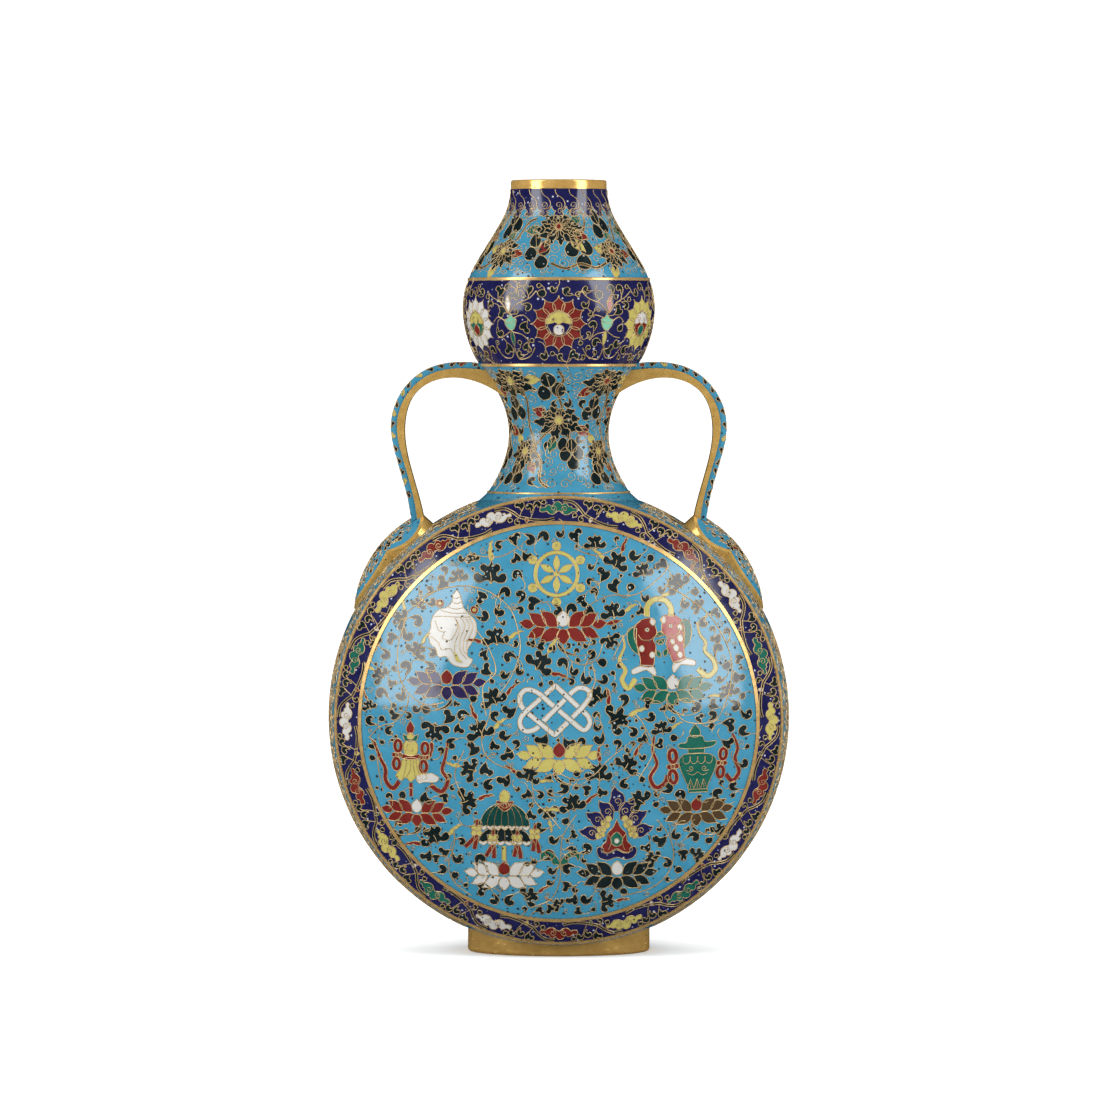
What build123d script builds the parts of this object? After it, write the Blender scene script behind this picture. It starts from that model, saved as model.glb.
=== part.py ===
"""Cloisonne moon flask with a double-gourd neck and two strap handles.

The vessel is brazed up from raised copper shells: two halves of the round body, a flared
neck and a gourd bulb. Each shell carries fields of fired enamel between gilt bands, and a
gilt mouth rim, an oval gilt foot with its base plate, and two gilt strap handles finish it.
The handles end in cloud-shaped pads that sit on the body's side wall.

Frame: +Z up, the round faces look along -Y (front) and +Y (back), and the origin is the
centre of the foot on the surface that the flask stands on. Millimetres.
"""

import math
import os

from build123d import *

# Driving dimensions.
HEIGHT = 250.0
BODY_R = 74.6  # outer radius of the round body, at its middle plane
BODY_Z = 76.4  # height of the round body's centre
RING_R = 71.9  # radius at which the side wall meets each domed face
SIDE_HALF = 24.5  # half the width of the side wall
DOME_RISE = 28.0  # how far each face bulges past the side wall
ENAMEL = 0.8  # thickness of the fired enamel, wires included
COPPER = 1.2  # thickness of the copper shells
PROUD = 0.25  # how far the gilt bands stand above the enamel
BAND_DEEP = 2.0  # depth of the gourd's bands below the enamel's surface
BAND_ROUND = 0.225  # rounding of those bands' corners

INNER_BAND_R = 63.7  # middle of the band between medallion and border
INNER_BAND_W = 1.1
OUTER_BAND_R = 0.75  # section radius of the wire along the body's edge
OUTER_BAND_FACETS = 12  # the wire was drawn through a faceted plate
OUTER_BAND_IN = 0.5  # how far its centre lies inside the edge, both ways
BORDER_IN = 0.8  # how far the border's enamel stops short of the edge
BAND_TALL = 1.1
BASE_BAND_TALL = 0.7

FOOT_X, FOOT_Y = 29.5, 20.0  # half lengths of the oval foot
FOOT_WALL = 3.0
FOOT_TALL = 12.0  # before the top is cut to the body's curve
FOOT_ROUND = 1.0
PLATE_LOW, PLATE_THICK = 1.8, 1.4

RIM_R, RIM_TALL = 15.5, 3.0
RIM_ROUND = 0.6
MOUTH_R = 12.9
SLEEVE_TALL = 5.0

# The gourd's profile from the body up, as (radius, height), in four stretches.
SKIRT = [(27.6, 145.2), (25.0, 147.2), (23.0, 149.1)]
NECK = [
    (23.0, 149.1), (19.1, 155.6), (16.5, 163.4), (16.05, 169.2),
    (17.2, 175.7), (21.2, 184.1), (25.7, 190.3),
]
BULB_LOW = [(25.7, 190.3), (28.9, 197.1), (31.0, 208.5), (29.3, 217.9)]
BULB_HIGH = [(29.3, 217.9), (25.3, 225.6), (20.4, 233.4), (17.0, 239.9), (15.7, 247.0)]
COLLAR_Z = 241.6  # where the dark collar below the rim starts
SKIRT_HALF = SIDE_HALF - 1.3  # the skirt is trimmed clear of the edge wires
SEAM = 0.03  # gap between the handles' enamel and the gourd's

# The right handle seen from the front, as (x, z). The strap is an even width front to back.
STRAP_OUTER = [
    (19.0, 189.6), (32.8, 191.1), (42.2, 189.1), (50.1, 182.6),
    (54.2, 171.6), (52.1, 159.0), (48.6, 146.0), (47.6, 136.0),
]
STRAP_INNER = [
    (14.0, 176.0), (28.1, 185.3), (38.3, 185.7), (46.0, 181.5),
    (49.9, 169.9), (47.6, 155.6), (44.7, 145.2), (43.0, 134.0),
]
STRAP_WIDE = 13.0
STRAP_ENAMEL = 1.9  # height of the domed enamel along the strap
STRAP_EDGE = 0.5  # bare metal left along each side of that enamel
STRAP_STEPS = 14

# The pad at the handle's foot: a barrel about its own centre, cut to a cloud outline.
PAD_CENTRE = (28.6, 107.8)
PAD_R = 38.0
PAD_DROP, PAD_HALF = 7.0, 15.0
PAD_ANGLE = 48.0  # of its middle, from the vertical, round the body's centre
PAD_RIM = 1.0
PAD_ROOT, PAD_REACH = 20.0, 40.0  # where its prism starts inside the body, and its length
# Half the outline on the plane that touches the body there, as the start, middle and end of
# two arcs: x runs down the side wall and y is the half width.
PAD_UPPER = [(-19.0, 6.5), (-9.5, 14.2), (-3.0, 11.2)]
PAD_LOWER = [(-3.0, 11.2), (7.0, 11.4), (18.5, 0.0)]

FAR = 400.0  # longer than anything in the object
SIDES = {"front": -1, "back": 1}
HANDS = {"left": -1, "right": 1}


def circles_meet(c1, r1, c2, r2):
    """Where two circles cross, on the side that lies further out and nearer the front."""
    dx, dy = c2[0] - c1[0], c2[1] - c1[1]
    apart = math.hypot(dx, dy)
    along = (r1**2 - r2**2 + apart**2) / (2 * apart)
    off = math.sqrt(r1**2 - along**2)
    mid = (c1[0] + along * dx / apart, c1[1] + along * dy / apart)
    found = [(mid[0] + s * off * dy / apart, mid[1] - s * off * dx / apart) for s in (-1, 1)]
    return min(found, key=lambda p: p[1])


DOME_R = (RING_R**2 + DOME_RISE**2) / (2 * DOME_RISE)
FACE_Y = SIDE_HALF + DOME_RISE
BULGE = BODY_R - RING_R
SIDE_ARC_R = (SIDE_HALF**2 + BULGE**2) / (2 * BULGE)


def moon_section(inset):
    """Half of the round body's section, its outline moved inwards by inset."""
    dome_centre = (0.0, DOME_R - FACE_Y)
    side_centre = (BODY_R - SIDE_ARC_R, 0.0)
    corner = circles_meet(dome_centre, DOME_R - inset, side_centre, SIDE_ARC_R - inset)
    half_turn = math.asin(corner[0] / (DOME_R - inset)) / 2
    on_dome = (
        (DOME_R - inset) * math.sin(half_turn),
        dome_centre[1] - (DOME_R - inset) * math.cos(half_turn),
    )
    apex = (0.0, inset - FACE_Y)
    with BuildSketch(Plane.XY.offset(BODY_Z)) as section:
        with BuildLine():
            ThreePointArc(apex, on_dome, corner)
            ThreePointArc(corner, (BODY_R - inset, 0), (corner[0], -corner[1]))
            ThreePointArc((corner[0], -corner[1]), (on_dome[0], -on_dome[1]), (0, -apex[1]))
            Line((0, -apex[1]), apex)
        make_face()
    return section.sketch


def moon_solid(inset):
    """The round body as one solid, its whole surface moved inwards by inset."""
    with BuildPart() as moon:
        revolve(moon_section(inset), axis=Axis((0, 0, BODY_Z), (0, 1, 0)))
    return moon.part


def edge_wire(side):
    """The gilt wire along the body's edge, notched where it sits on the copper."""
    with BuildPart() as wire:
        with BuildSketch(Plane.XY.offset(BODY_Z)):
            with Locations((RING_R - OUTER_BAND_IN, side * (SIDE_HALF - OUTER_BAND_IN))):
                RegularPolygon(OUTER_BAND_R, OUTER_BAND_FACETS)
            add(moon_section(ENAMEL), mode=Mode.SUBTRACT)
        revolve(axis=Axis((0, 0, BODY_Z), (0, 1, 0)))
    return wire.part


def face_plane(side):
    """The middle plane of the round body, facing the front or the back."""
    return Plane((0, 0, BODY_Z), x_dir=(1, 0, 0), z_dir=(0, side, 0))


def turned(points, outer, inner=None):
    """A stretch of the gourd turned about Z: a shell between two insets, or solid to the axis."""
    with BuildPart() as shell:
        with BuildSketch(Plane.XZ):
            with BuildLine():
                out = Spline(*[(r - outer, z) for r, z in points])
                if inner is None:
                    Polyline(out @ 1, (0, points[-1][1]), (0, points[0][1]), out @ 0)
                else:
                    inn = Spline(*[(r - inner, z) for r, z in points])
                    Line(out @ 0, inn @ 0)
                    Line(out @ 1, inn @ 1)
            make_face()
        revolve(axis=Axis.Z)
    return shell.part


def slab(low, high):
    """Everything between two heights."""
    with BuildPart() as layer:
        with BuildSketch(Plane.XY.offset(low)):
            Rectangle(FAR, FAR)
        extrude(amount=high - low)
    return layer.part


def middle(half):
    """Everything within half of the middle plane, front to back."""
    with BuildPart() as layer:
        Box(FAR, 2 * half, 2 * FAR)
    return layer.part


def foot_block(x_half, y_half, tall=FOOT_TALL):
    """An oval column that stands on the ground."""
    with BuildPart() as block:
        with BuildSketch():
            Ellipse(x_half, y_half)
        extrude(amount=tall)
    return block.part


def band_ring(radius, z, tall):
    """A gilt ring round the gourd, thick enough to reach the copper below it."""
    with BuildPart() as ring:
        with BuildSketch(Plane.XZ):
            with Locations((radius + (PROUD - BAND_DEEP) / 2, z)):
                RectangleRounded(BAND_DEEP + PROUD, tall, BAND_ROUND)
        revolve(axis=Axis.Z)
    return ring.part


def strap_region(outer, inner, hand, wide):
    """The strip between two edge curves, as wide as the strap front to back."""
    with BuildPart() as strip:
        with BuildSketch(Plane.XZ.offset(-wide / 2)):
            with BuildLine():
                top = Spline(*[(hand * x, z) for x, z in outer])
                low = Spline(*[(hand * x, z) for x, z in inner])
                Line(top @ 0, low @ 0)
                Line(top @ 1, low @ 1)
            make_face()
        extrude(amount=wide)
    return strip.part


def strap_joint_line():
    """Points where enamel and metal meet on the strap, a fixed depth under its outer edge."""
    with BuildLine(mode=Mode.PRIVATE) as edge:
        Spline(*STRAP_OUTER)
    curve = edge.line
    points = []
    for step in range(STRAP_STEPS + 1):
        share = step / STRAP_STEPS
        at, along = curve @ share, curve % share
        points.append((at.X + STRAP_ENAMEL * along.Y, at.Y - STRAP_ENAMEL * along.X))
    return points


def pad_barrel(hand, inset):
    """The barrel that shapes the pad's crowned top."""
    low, half = PAD_R - PAD_DROP - inset, PAD_HALF
    centre = Vector(hand * PAD_CENTRE[0], 0, PAD_CENTRE[1])
    with BuildPart() as barrel:
        with BuildSketch(Plane(centre, x_dir=(hand, 0, 0), z_dir=(0, 0, hand))):
            with BuildLine():
                ThreePointArc((low, -half), (PAD_R - inset, 0), (low, half))
                Polyline((low, half), (0, half), (0, -half), (low, -half))
            make_face()
        revolve(axis=Axis(centre, (0, 1, 0)))
    return barrel.part


def pad_prism(hand, inset):
    """The pad's cloud outline, extruded square to the body's side wall."""
    turn = math.radians(PAD_ANGLE)
    out = Vector(hand * math.sin(turn), 0, math.cos(turn))
    down = Vector(hand * math.cos(turn), 0, -math.sin(turn))
    root = Vector(0, 0, BODY_Z) + out * (BODY_R - PAD_ROOT)
    with BuildPart() as prism:
        with BuildSketch(Plane(root, x_dir=down, z_dir=out)):
            with BuildLine():
                for arc in (PAD_UPPER, PAD_LOWER):
                    ThreePointArc(*arc)
                    ThreePointArc(*[(x, -y) for x, y in arc])
                Line(PAD_UPPER[0], (PAD_UPPER[0][0], -PAD_UPPER[0][1]))
            make_face()
            if inset:
                offset(amount=-inset)
        extrude(amount=PAD_REACH)
    return prism.part


def save(piece, label):
    """Labels a finished piece and writes its STEP file."""
    piece.label = label
    export_step(piece, f"parts/{label}.step")


os.makedirs("parts", exist_ok=True)

# Shared cutting bodies.
outer_moon = moon_solid(0)
copper_moon = moon_solid(ENAMEL)
hollow_moon = moon_solid(ENAMEL + COPPER)
skirt_fill = turned(SKIRT, 0)
skirt_fill_copper = turned(SKIRT, ENAMEL)
neck_skin = turned(NECK, -SEAM)
gourd_fill = turned(NECK, ENAMEL)
bulb_skin = turned(BULB_LOW, -SEAM)
bulb_fill = turned(BULB_LOW, ENAMEL)
cap_fill = turned(BULB_HIGH, ENAMEL)
foot_outside = foot_block(FOOT_X, FOOT_Y)
foot_inside = foot_block(FOOT_X - FOOT_WALL, FOOT_Y - FOOT_WALL, 2 * FOOT_TALL)

bands = {
    "neck_base_band": band_ring(NECK[0][0], NECK[0][1], BASE_BAND_TALL),
    "bulb_base_band": band_ring(NECK[-1][0], NECK[-1][1], BAND_TALL),
    "bulb_belt_band": band_ring(BULB_HIGH[0][0], BULB_HIGH[0][1], BAND_TALL),
}

# The gilt bands round the gourd stop at the copper.
for label, ring in bands.items():
    with BuildPart() as band:
        add(ring)
        for core in (gourd_fill, bulb_fill, cap_fill, skirt_fill_copper, copper_moon):
            add(core, mode=Mode.SUBTRACT)
    save(band.part, label)
    bands[label] = band.part

# Handles: a gilt strap and its pad in one piece, with an enamel field on each.
joint_line = strap_joint_line()
handles = {}
for hand_name, hand in HANDS.items():
    with BuildPart() as strap_enamel:
        add(strap_region(STRAP_OUTER, joint_line, hand, STRAP_WIDE - 2 * STRAP_EDGE))
        for core in (neck_skin, bulb_skin, outer_moon, pad_barrel(hand, 0)):
            add(core, mode=Mode.SUBTRACT)
        add(bands["bulb_base_band"], mode=Mode.SUBTRACT)
        biggest = strap_enamel.part.solids().sort_by(SortBy.VOLUME)[-1]
        add(biggest, mode=Mode.REPLACE)
    with BuildPart() as pad_enamel:
        add(pad_barrel(hand, 0))
        add(pad_barrel(hand, ENAMEL), mode=Mode.SUBTRACT)
        add(pad_prism(hand, PAD_RIM), mode=Mode.INTERSECT)
        add(strap_region(STRAP_OUTER, STRAP_INNER, hand, STRAP_WIDE), mode=Mode.SUBTRACT)
        add(outer_moon, mode=Mode.SUBTRACT)
        biggest = pad_enamel.part.solids().sort_by(SortBy.VOLUME)[-1]
        add(biggest, mode=Mode.REPLACE)
    with BuildPart() as handle:
        add(pad_barrel(hand, 0))
        add(pad_prism(hand, 0), mode=Mode.INTERSECT)
        add(strap_region(STRAP_OUTER, STRAP_INNER, hand, STRAP_WIDE))
        for core in (copper_moon, gourd_fill, bulb_fill):
            add(core, mode=Mode.SUBTRACT)
        # The metal is bare only below the joint line: the strap's top layer is enamel.
        add(strap_region(STRAP_OUTER, joint_line, hand, STRAP_WIDE), mode=Mode.SUBTRACT)
        add(pad_enamel.part, mode=Mode.SUBTRACT)
        add(bands["bulb_base_band"], mode=Mode.SUBTRACT)
        biggest = handle.part.solids().sort_by(SortBy.VOLUME)[-1]
        add(biggest, mode=Mode.REPLACE)
    handles[hand_name] = handle.part
    save(strap_enamel.part, f"{hand_name}_handle_enamel")
    save(pad_enamel.part, f"{hand_name}_pad_enamel")
    save(handle.part, f"{hand_name}_handle")

# The round body: two copper half shells, open to the neck above and to the base plate below.
for side_name, side in SIDES.items():
    with BuildPart() as half_shell:
        add(copper_moon)
        add(hollow_moon, mode=Mode.SUBTRACT)
        with BuildSketch(Plane.XY.offset(BODY_Z)):
            Circle(NECK[0][0] - ENAMEL - COPPER)
        extrude(amount=FAR, mode=Mode.SUBTRACT)
        add(foot_inside, mode=Mode.SUBTRACT)
        split(bisect_by=Plane.XZ, keep=Keep.TOP if side < 0 else Keep.BOTTOM)
    save(half_shell.part, f"body_{side_name}_shell")

# The faces: medallion, inner band, border and the wire along the edge.
for side_name, side in SIDES.items():
    wire = edge_wire(side)
    half_band = INNER_BAND_W / 2
    inner_edge, corner_r = INNER_BAND_R + half_band, RING_R - BORDER_IN
    with BuildPart() as medallion:
        add(outer_moon)
        add(copper_moon, mode=Mode.SUBTRACT)
        with BuildSketch(face_plane(side)):
            Circle(INNER_BAND_R - half_band)
        extrude(amount=FACE_Y + 1, mode=Mode.INTERSECT)
    with BuildPart() as inner_band:
        add(moon_solid(-PROUD))
        add(copper_moon, mode=Mode.SUBTRACT)
        with BuildSketch(face_plane(side)):
            Circle(inner_edge)
            Circle(INNER_BAND_R - half_band, mode=Mode.SUBTRACT)
        extrude(amount=FACE_Y + 1, mode=Mode.INTERSECT)
    with BuildPart() as border:
        add(outer_moon)
        add(copper_moon, mode=Mode.SUBTRACT)
        with BuildSketch(face_plane(side)):
            Circle(corner_r)
            Circle(inner_edge, mode=Mode.SUBTRACT)
        extrude(amount=FACE_Y + 1, mode=Mode.INTERSECT)
        add(wire, mode=Mode.SUBTRACT)
    save(medallion.part, f"{side_name}_medallion_enamel")
    save(inner_band.part, f"{side_name}_inner_band")
    save(border.part, f"{side_name}_border_enamel")
    save(wire, f"{side_name}_outer_band")

# The side wall's enamel, left and right of the neck and the foot.
for hand_name, hand in HANDS.items():
    with BuildPart() as wall_enamel:
        add(outer_moon)
        add(copper_moon, mode=Mode.SUBTRACT)
        add(middle(SIDE_HALF - OUTER_BAND_IN), mode=Mode.INTERSECT)
        for side in SIDES.values():
            add(edge_wire(side), mode=Mode.SUBTRACT)
        add(skirt_fill, mode=Mode.SUBTRACT)
        add(foot_outside, mode=Mode.SUBTRACT)
        add(foot_inside, mode=Mode.SUBTRACT)
        add(handles[hand_name], mode=Mode.SUBTRACT)
        split(bisect_by=Plane.YZ, keep=Keep.TOP if hand > 0 else Keep.BOTTOM)
        biggest = wall_enamel.part.solids().sort_by(SortBy.VOLUME)[-1]
        add(biggest, mode=Mode.REPLACE)
    save(wall_enamel.part, f"{hand_name}_side_enamel")

# The neck's copper flares into a skirt that is brazed to the body.
with BuildPart() as neck_shell:
    add(turned(SKIRT, ENAMEL, ENAMEL + COPPER))
    add(middle(SKIRT_HALF), mode=Mode.INTERSECT)
    add(turned(NECK, ENAMEL, ENAMEL + COPPER))
    add(copper_moon, mode=Mode.SUBTRACT)
save(neck_shell.part, "neck_shell")

with BuildPart() as skirt_enamel:
    add(turned(SKIRT, 0, ENAMEL))
    add(middle(SKIRT_HALF), mode=Mode.INTERSECT)
    add(outer_moon, mode=Mode.SUBTRACT)
    add(bands["neck_base_band"], mode=Mode.SUBTRACT)
save(skirt_enamel.part, "skirt_enamel")

with BuildPart() as neck_enamel:
    add(turned(NECK, 0, ENAMEL))
    for label in ("neck_base_band", "bulb_base_band"):
        add(bands[label], mode=Mode.SUBTRACT)
    for handle_part in handles.values():
        add(handle_part, mode=Mode.SUBTRACT)
    biggest = neck_enamel.part.solids().sort_by(SortBy.VOLUME)[-1]
    add(biggest, mode=Mode.REPLACE)
save(neck_enamel.part, "neck_enamel")

# The gourd bulb: one copper shell and three enamel fields.
with BuildPart() as bulb_shell:
    add(turned(BULB_LOW, ENAMEL, ENAMEL + COPPER))
    add(turned(BULB_HIGH, ENAMEL, ENAMEL + COPPER))
save(bulb_shell.part, "bulb_shell")

with BuildPart() as bulb_lower_enamel:
    add(turned(BULB_LOW, 0, ENAMEL))
    for label in ("bulb_base_band", "bulb_belt_band"):
        add(bands[label], mode=Mode.SUBTRACT)
save(bulb_lower_enamel.part, "bulb_lower_enamel")

with BuildPart() as bulb_upper_enamel:
    add(turned(BULB_HIGH, 0, ENAMEL))
    add(slab(BULB_HIGH[0][1], COLLAR_Z), mode=Mode.INTERSECT)
    add(bands["bulb_belt_band"], mode=Mode.SUBTRACT)
save(bulb_upper_enamel.part, "bulb_upper_enamel")

with BuildPart() as collar_enamel:
    add(turned(BULB_HIGH, 0, ENAMEL))
    add(slab(COLLAR_Z, HEIGHT - RIM_TALL), mode=Mode.INTERSECT)
save(collar_enamel.part, "collar_enamel")

# The gilt rim: a rounded ring with a sleeve that slips down inside the bulb's copper.
shell_inner = BULB_HIGH[-1][0] - ENAMEL - COPPER
with BuildPart() as mouth_rim:
    with BuildSketch(Plane.XZ):
        with Locations(((RIM_R + MOUTH_R) / 2, HEIGHT - RIM_TALL / 2)):
            Rectangle(RIM_R - MOUTH_R, RIM_TALL)
        with Locations(((shell_inner + MOUTH_R) / 2, HEIGHT - RIM_TALL - SLEEVE_TALL / 2)):
            Rectangle(shell_inner - MOUTH_R, SLEEVE_TALL)
    revolve(axis=Axis.Z)
    top_edges = mouth_rim.part.edges().group_by(Axis.Z)[-1]
    fillet(top_edges, radius=RIM_ROUND)
    add(turned(BULB_HIGH, ENAMEL, ENAMEL + COPPER), mode=Mode.SUBTRACT)
save(mouth_rim.part, "mouth_rim")

# The oval foot, its top cut to the body's curve, and the plate that closes the bottom.
with BuildPart() as foot_ring:
    add(foot_outside)
    fillet(foot_ring.part.edges().group_by(Axis.Z)[0], radius=FOOT_ROUND)
    add(foot_inside, mode=Mode.SUBTRACT)
    add(copper_moon, mode=Mode.SUBTRACT)
save(foot_ring.part, "foot_ring")

with BuildPart() as base_plate:
    with BuildSketch(Plane.XY.offset(PLATE_LOW)):
        Ellipse(FOOT_X - FOOT_WALL, FOOT_Y - FOOT_WALL)
    extrude(amount=PLATE_THICK)
save(base_plate.part, "base_plate")
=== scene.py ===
import math
import random

import bpy
import numpy as np
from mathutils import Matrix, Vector
from mathutils.bvhtree import BVHTree
from mathutils.geometry import delaunay_2d_cdt


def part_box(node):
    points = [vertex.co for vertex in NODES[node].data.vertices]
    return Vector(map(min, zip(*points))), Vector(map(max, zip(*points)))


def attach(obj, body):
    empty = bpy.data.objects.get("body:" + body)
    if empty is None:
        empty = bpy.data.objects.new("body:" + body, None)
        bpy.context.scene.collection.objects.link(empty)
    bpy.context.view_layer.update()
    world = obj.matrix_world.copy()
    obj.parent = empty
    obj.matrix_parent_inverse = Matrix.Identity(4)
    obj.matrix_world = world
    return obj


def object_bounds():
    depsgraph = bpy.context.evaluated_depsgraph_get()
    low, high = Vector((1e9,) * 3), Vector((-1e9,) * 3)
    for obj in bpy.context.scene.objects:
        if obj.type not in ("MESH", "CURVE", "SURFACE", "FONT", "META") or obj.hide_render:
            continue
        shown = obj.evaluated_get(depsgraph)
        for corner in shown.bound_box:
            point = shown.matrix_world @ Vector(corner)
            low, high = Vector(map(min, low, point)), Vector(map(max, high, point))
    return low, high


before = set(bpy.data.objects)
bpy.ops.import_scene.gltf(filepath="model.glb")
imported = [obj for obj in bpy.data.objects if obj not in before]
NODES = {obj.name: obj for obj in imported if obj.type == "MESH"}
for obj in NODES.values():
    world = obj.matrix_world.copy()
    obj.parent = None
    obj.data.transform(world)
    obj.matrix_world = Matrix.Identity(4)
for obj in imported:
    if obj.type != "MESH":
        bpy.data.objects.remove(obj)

# Drawings are in millimetres on each enamelled surface: x to the right and y up, seen from
# outside. The frame is in metres.
MM = 0.001
STEP = 0.42  # spacing of points along a curve
WIRE = 0.26  # width of a cloison
VINE = 0.36  # width of the main stems
THIN = 0.20  # width of the small background curls
CELL_LIFT = 0.06  # a coloured cell's height over the ground enamel
LEVEL_LIFT = 0.03  # and of each layer drawn over another
WIRE_LIFT = 0.15
WIRE_SINK = 0.12
INNER_BAND = 1.1  # width of the band between medallion and border
LOOP_X = 33.0  # a point inside a handle's loop, from which rays find its strap
LOOP_Z = 168.0

# How far apart the points inside a cell lie: closer where the surface bends more.
FACE_GRAIN = 3.0
GOURD_GRAIN = 1.3
SIDE_GRAIN = 2.4
STRAP_GRAIN = 1.6
PAD_GRAIN = 1.8

# Where each surface's random draws start.
NECK_SEED = 31
UPPER_BULB_SEED = 32
LOWER_BULB_SEED = 33
SIDE_WALL_SEED = 34
STRAP_SEED = 40
PAD_SEED = 50
EDGE_SEED = 60

PAD_ANGLE = 48.0  # of a pad's middle, from the vertical, round the body's centre

cad_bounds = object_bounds()
Z = "+Z"
Y = "+Y"


# ---------------------------------------------------------------- the surfaces drawn on

def corners(node):
    """A CAD node's lowest and highest corners, in millimetres."""
    low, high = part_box(node)
    return np.array(low) / MM, np.array(high) / MM


def tree_of(node):
    mesh = NODES[node].data
    verts = [v.co / MM for v in mesh.vertices]
    return BVHTree.FromPolygons(verts, [tuple(p.vertices) for p in mesh.polygons])


disc_low, disc_high = corners("front_medallion_enamel")
BODY_Z = (disc_low[2] + disc_high[2]) / 2
DISC_R = disc_high[0]
FACE_Y = -disc_low[1]


def dome_radius():
    """The radius of the domed face, from its middle and its rim."""
    verts = np.array([v.co for v in NODES["front_medallion_enamel"].data.vertices]) / MM
    out = np.hypot(verts[:, 0], verts[:, 2] - BODY_Z)
    rim_y = verts[out > out.max() - 0.05][:, 1].min()
    drop = rim_y + FACE_Y
    return (out.max() ** 2 + drop**2) / (2 * drop)


DOME_R = dome_radius()


def face_place(side):
    """The domed face: side -1 is the front and +1 the back."""
    centre = np.array([0.0, -side * (DOME_R - FACE_Y), BODY_Z])

    def place(u, v, lift):
        normal = np.stack([-side * u, side * np.sqrt(DOME_R**2 - u**2 - v**2), v], 1) / DOME_R
        return centre + normal * (DOME_R + lift)

    return place


def ring_place(side, radius):
    """The same face unrolled round a circle: u runs clockwise from the top and v outwards."""
    flat = face_place(side)

    def place(u, v, lift):
        turn = u / radius
        return flat((radius + v) * np.sin(turn), (radius + v) * np.cos(turn), lift)

    return place


def profile_of(nodes, origin, along, away, low, high):
    """Radii of turned surfaces at even steps along their axis, found by casting rays."""
    trees = [tree_of(n) for n in nodes]
    spots = np.arange(low, high, 0.5)
    radii = []
    for spot in spots:
        start = Vector(origin + along * spot + away * 150)
        hits = [t.ray_cast(start, Vector(-away)) for t in trees]
        reach = [h[3] for h in hits if h[0] is not None]
        radii.append(150 - min(reach) if reach else np.nan)
    radii = np.array(radii)
    known = ~np.isnan(radii)
    return spots[known], radii[known]


def turned_place(profile, axis, radius):
    """A surface turned about +Z, or about +Y through the body's centre."""
    spots, radii = profile
    slopes = np.gradient(radii, spots)

    def place(u, v, lift):
        turn = u / radius
        out = np.interp(v, spots, radii)
        slope = np.interp(v, spots, slopes)
        size = np.sqrt(1 + slope**2)
        out = out + lift / size
        along = v - lift * slope / size
        if axis == Z:
            return np.stack([out * np.sin(turn), -out * np.cos(turn), along], 1)
        return np.stack([out * np.sin(turn), along, BODY_Z + out * np.cos(turn)], 1)

    return place


def strap_place(hand):
    """The outer face of a handle's strap: u across from the front, v along from the gourd."""
    node = ("left" if hand < 0 else "right") + "_handle_enamel"
    tree = tree_of(node)
    centre = Vector((hand * LOOP_X, 0, LOOP_Z))
    points = []
    for degrees in range(66, 250, 2):
        a = math.radians(degrees)
        ray = Vector((-hand * math.cos(a), 0, math.sin(a)))
        hit = tree.ray_cast(centre + ray * 60, -ray)
        if hit[0] is not None and (hit[0] - centre).dot(ray) > 12:
            points.append((hit[0].x, hit[0].z))
    line = np.array(points)
    length = np.concatenate([[0], np.cumsum(np.hypot(*np.diff(line, axis=0).T))])
    tangent = np.gradient(line, length, axis=0)
    tangent /= np.hypot(*tangent.T)[:, None]
    normal = np.stack([-tangent[:, 1], tangent[:, 0]], 1) * hand
    half = corners(node)[1][1]

    def place(u, v, lift):
        at = [np.interp(v, length, line[:, k]) for k in (0, 1)]
        out = [np.interp(v, length, normal[:, k]) for k in (0, 1)]
        return np.stack([at[0] + out[0] * lift, -hand * u, at[1] + out[1] * lift], 1)

    def edge(side):
        """The strap's enamel seen from the front (-1) or the back: v is the depth from outside."""

        def on_edge(u, v, lift):
            at = [np.interp(u, length, line[:, k]) for k in (0, 1)]
            out = [np.interp(u, length, normal[:, k]) for k in (0, 1)]
            return np.stack([at[0] - out[0] * v, np.full_like(u, side * (half + lift)),
                             at[1] - out[1] * v], 1)

        return on_edge

    return place, length[-1], half, edge


def pad_place(hand):
    """The pad below a strap: v runs down the side wall from the pad's middle, u across."""
    name = ("left" if hand < 0 else "right") + "_pad_enamel"
    tree = tree_of(name)
    side_r = corners(("left" if hand < 0 else "right") + "_side_enamel")[1][2] - BODY_Z

    def place(u, v, lift):
        spots = []
        for across, down in zip(np.atleast_1d(u), np.atleast_1d(v)):
            a = math.radians(PAD_ANGLE) - down / side_r
            ray = Vector((hand * math.sin(a), 0, math.cos(a)))
            start = Vector((0, -hand * across, BODY_Z)) + ray * 120
            hit = tree.ray_cast(start, -ray)
            base = hit[0] if hit[0] is not None else start - ray * (120 - side_r)
            spots.append(base + ray * lift)
        return np.array(spots)

    return place


# ---------------------------------------------------------------- drawing

RIGHT_ANGLE = math.pi / 2


def smooth(points, closed=False, step=STEP):
    """A Catmull-Rom curve through the points. A point given twice is a sharp corner."""
    pts = np.array(points, float)
    count = len(pts)
    out = []
    for i in range(count if closed else count - 1):
        b, c = pts[i], pts[(i + 1) % count]
        a = pts[i - 1] if closed or i else b
        d = pts[(i + 2) % count] if closed or i + 2 < count else c
        gap = math.hypot(*(c - b))
        if gap < 1e-6:
            continue
        n = max(1, math.ceil(gap / step))
        t = (np.arange(n) / n)[:, None]
        curve = 2 * b + (c - a) * t + (2 * a - 5 * b + 4 * c - d) * t**2
        out.append((curve + (3 * b - a - 3 * c + d) * t**3) / 2)
    if not closed:
        out.append(pts[-1:])
    return np.concatenate(out)


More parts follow.
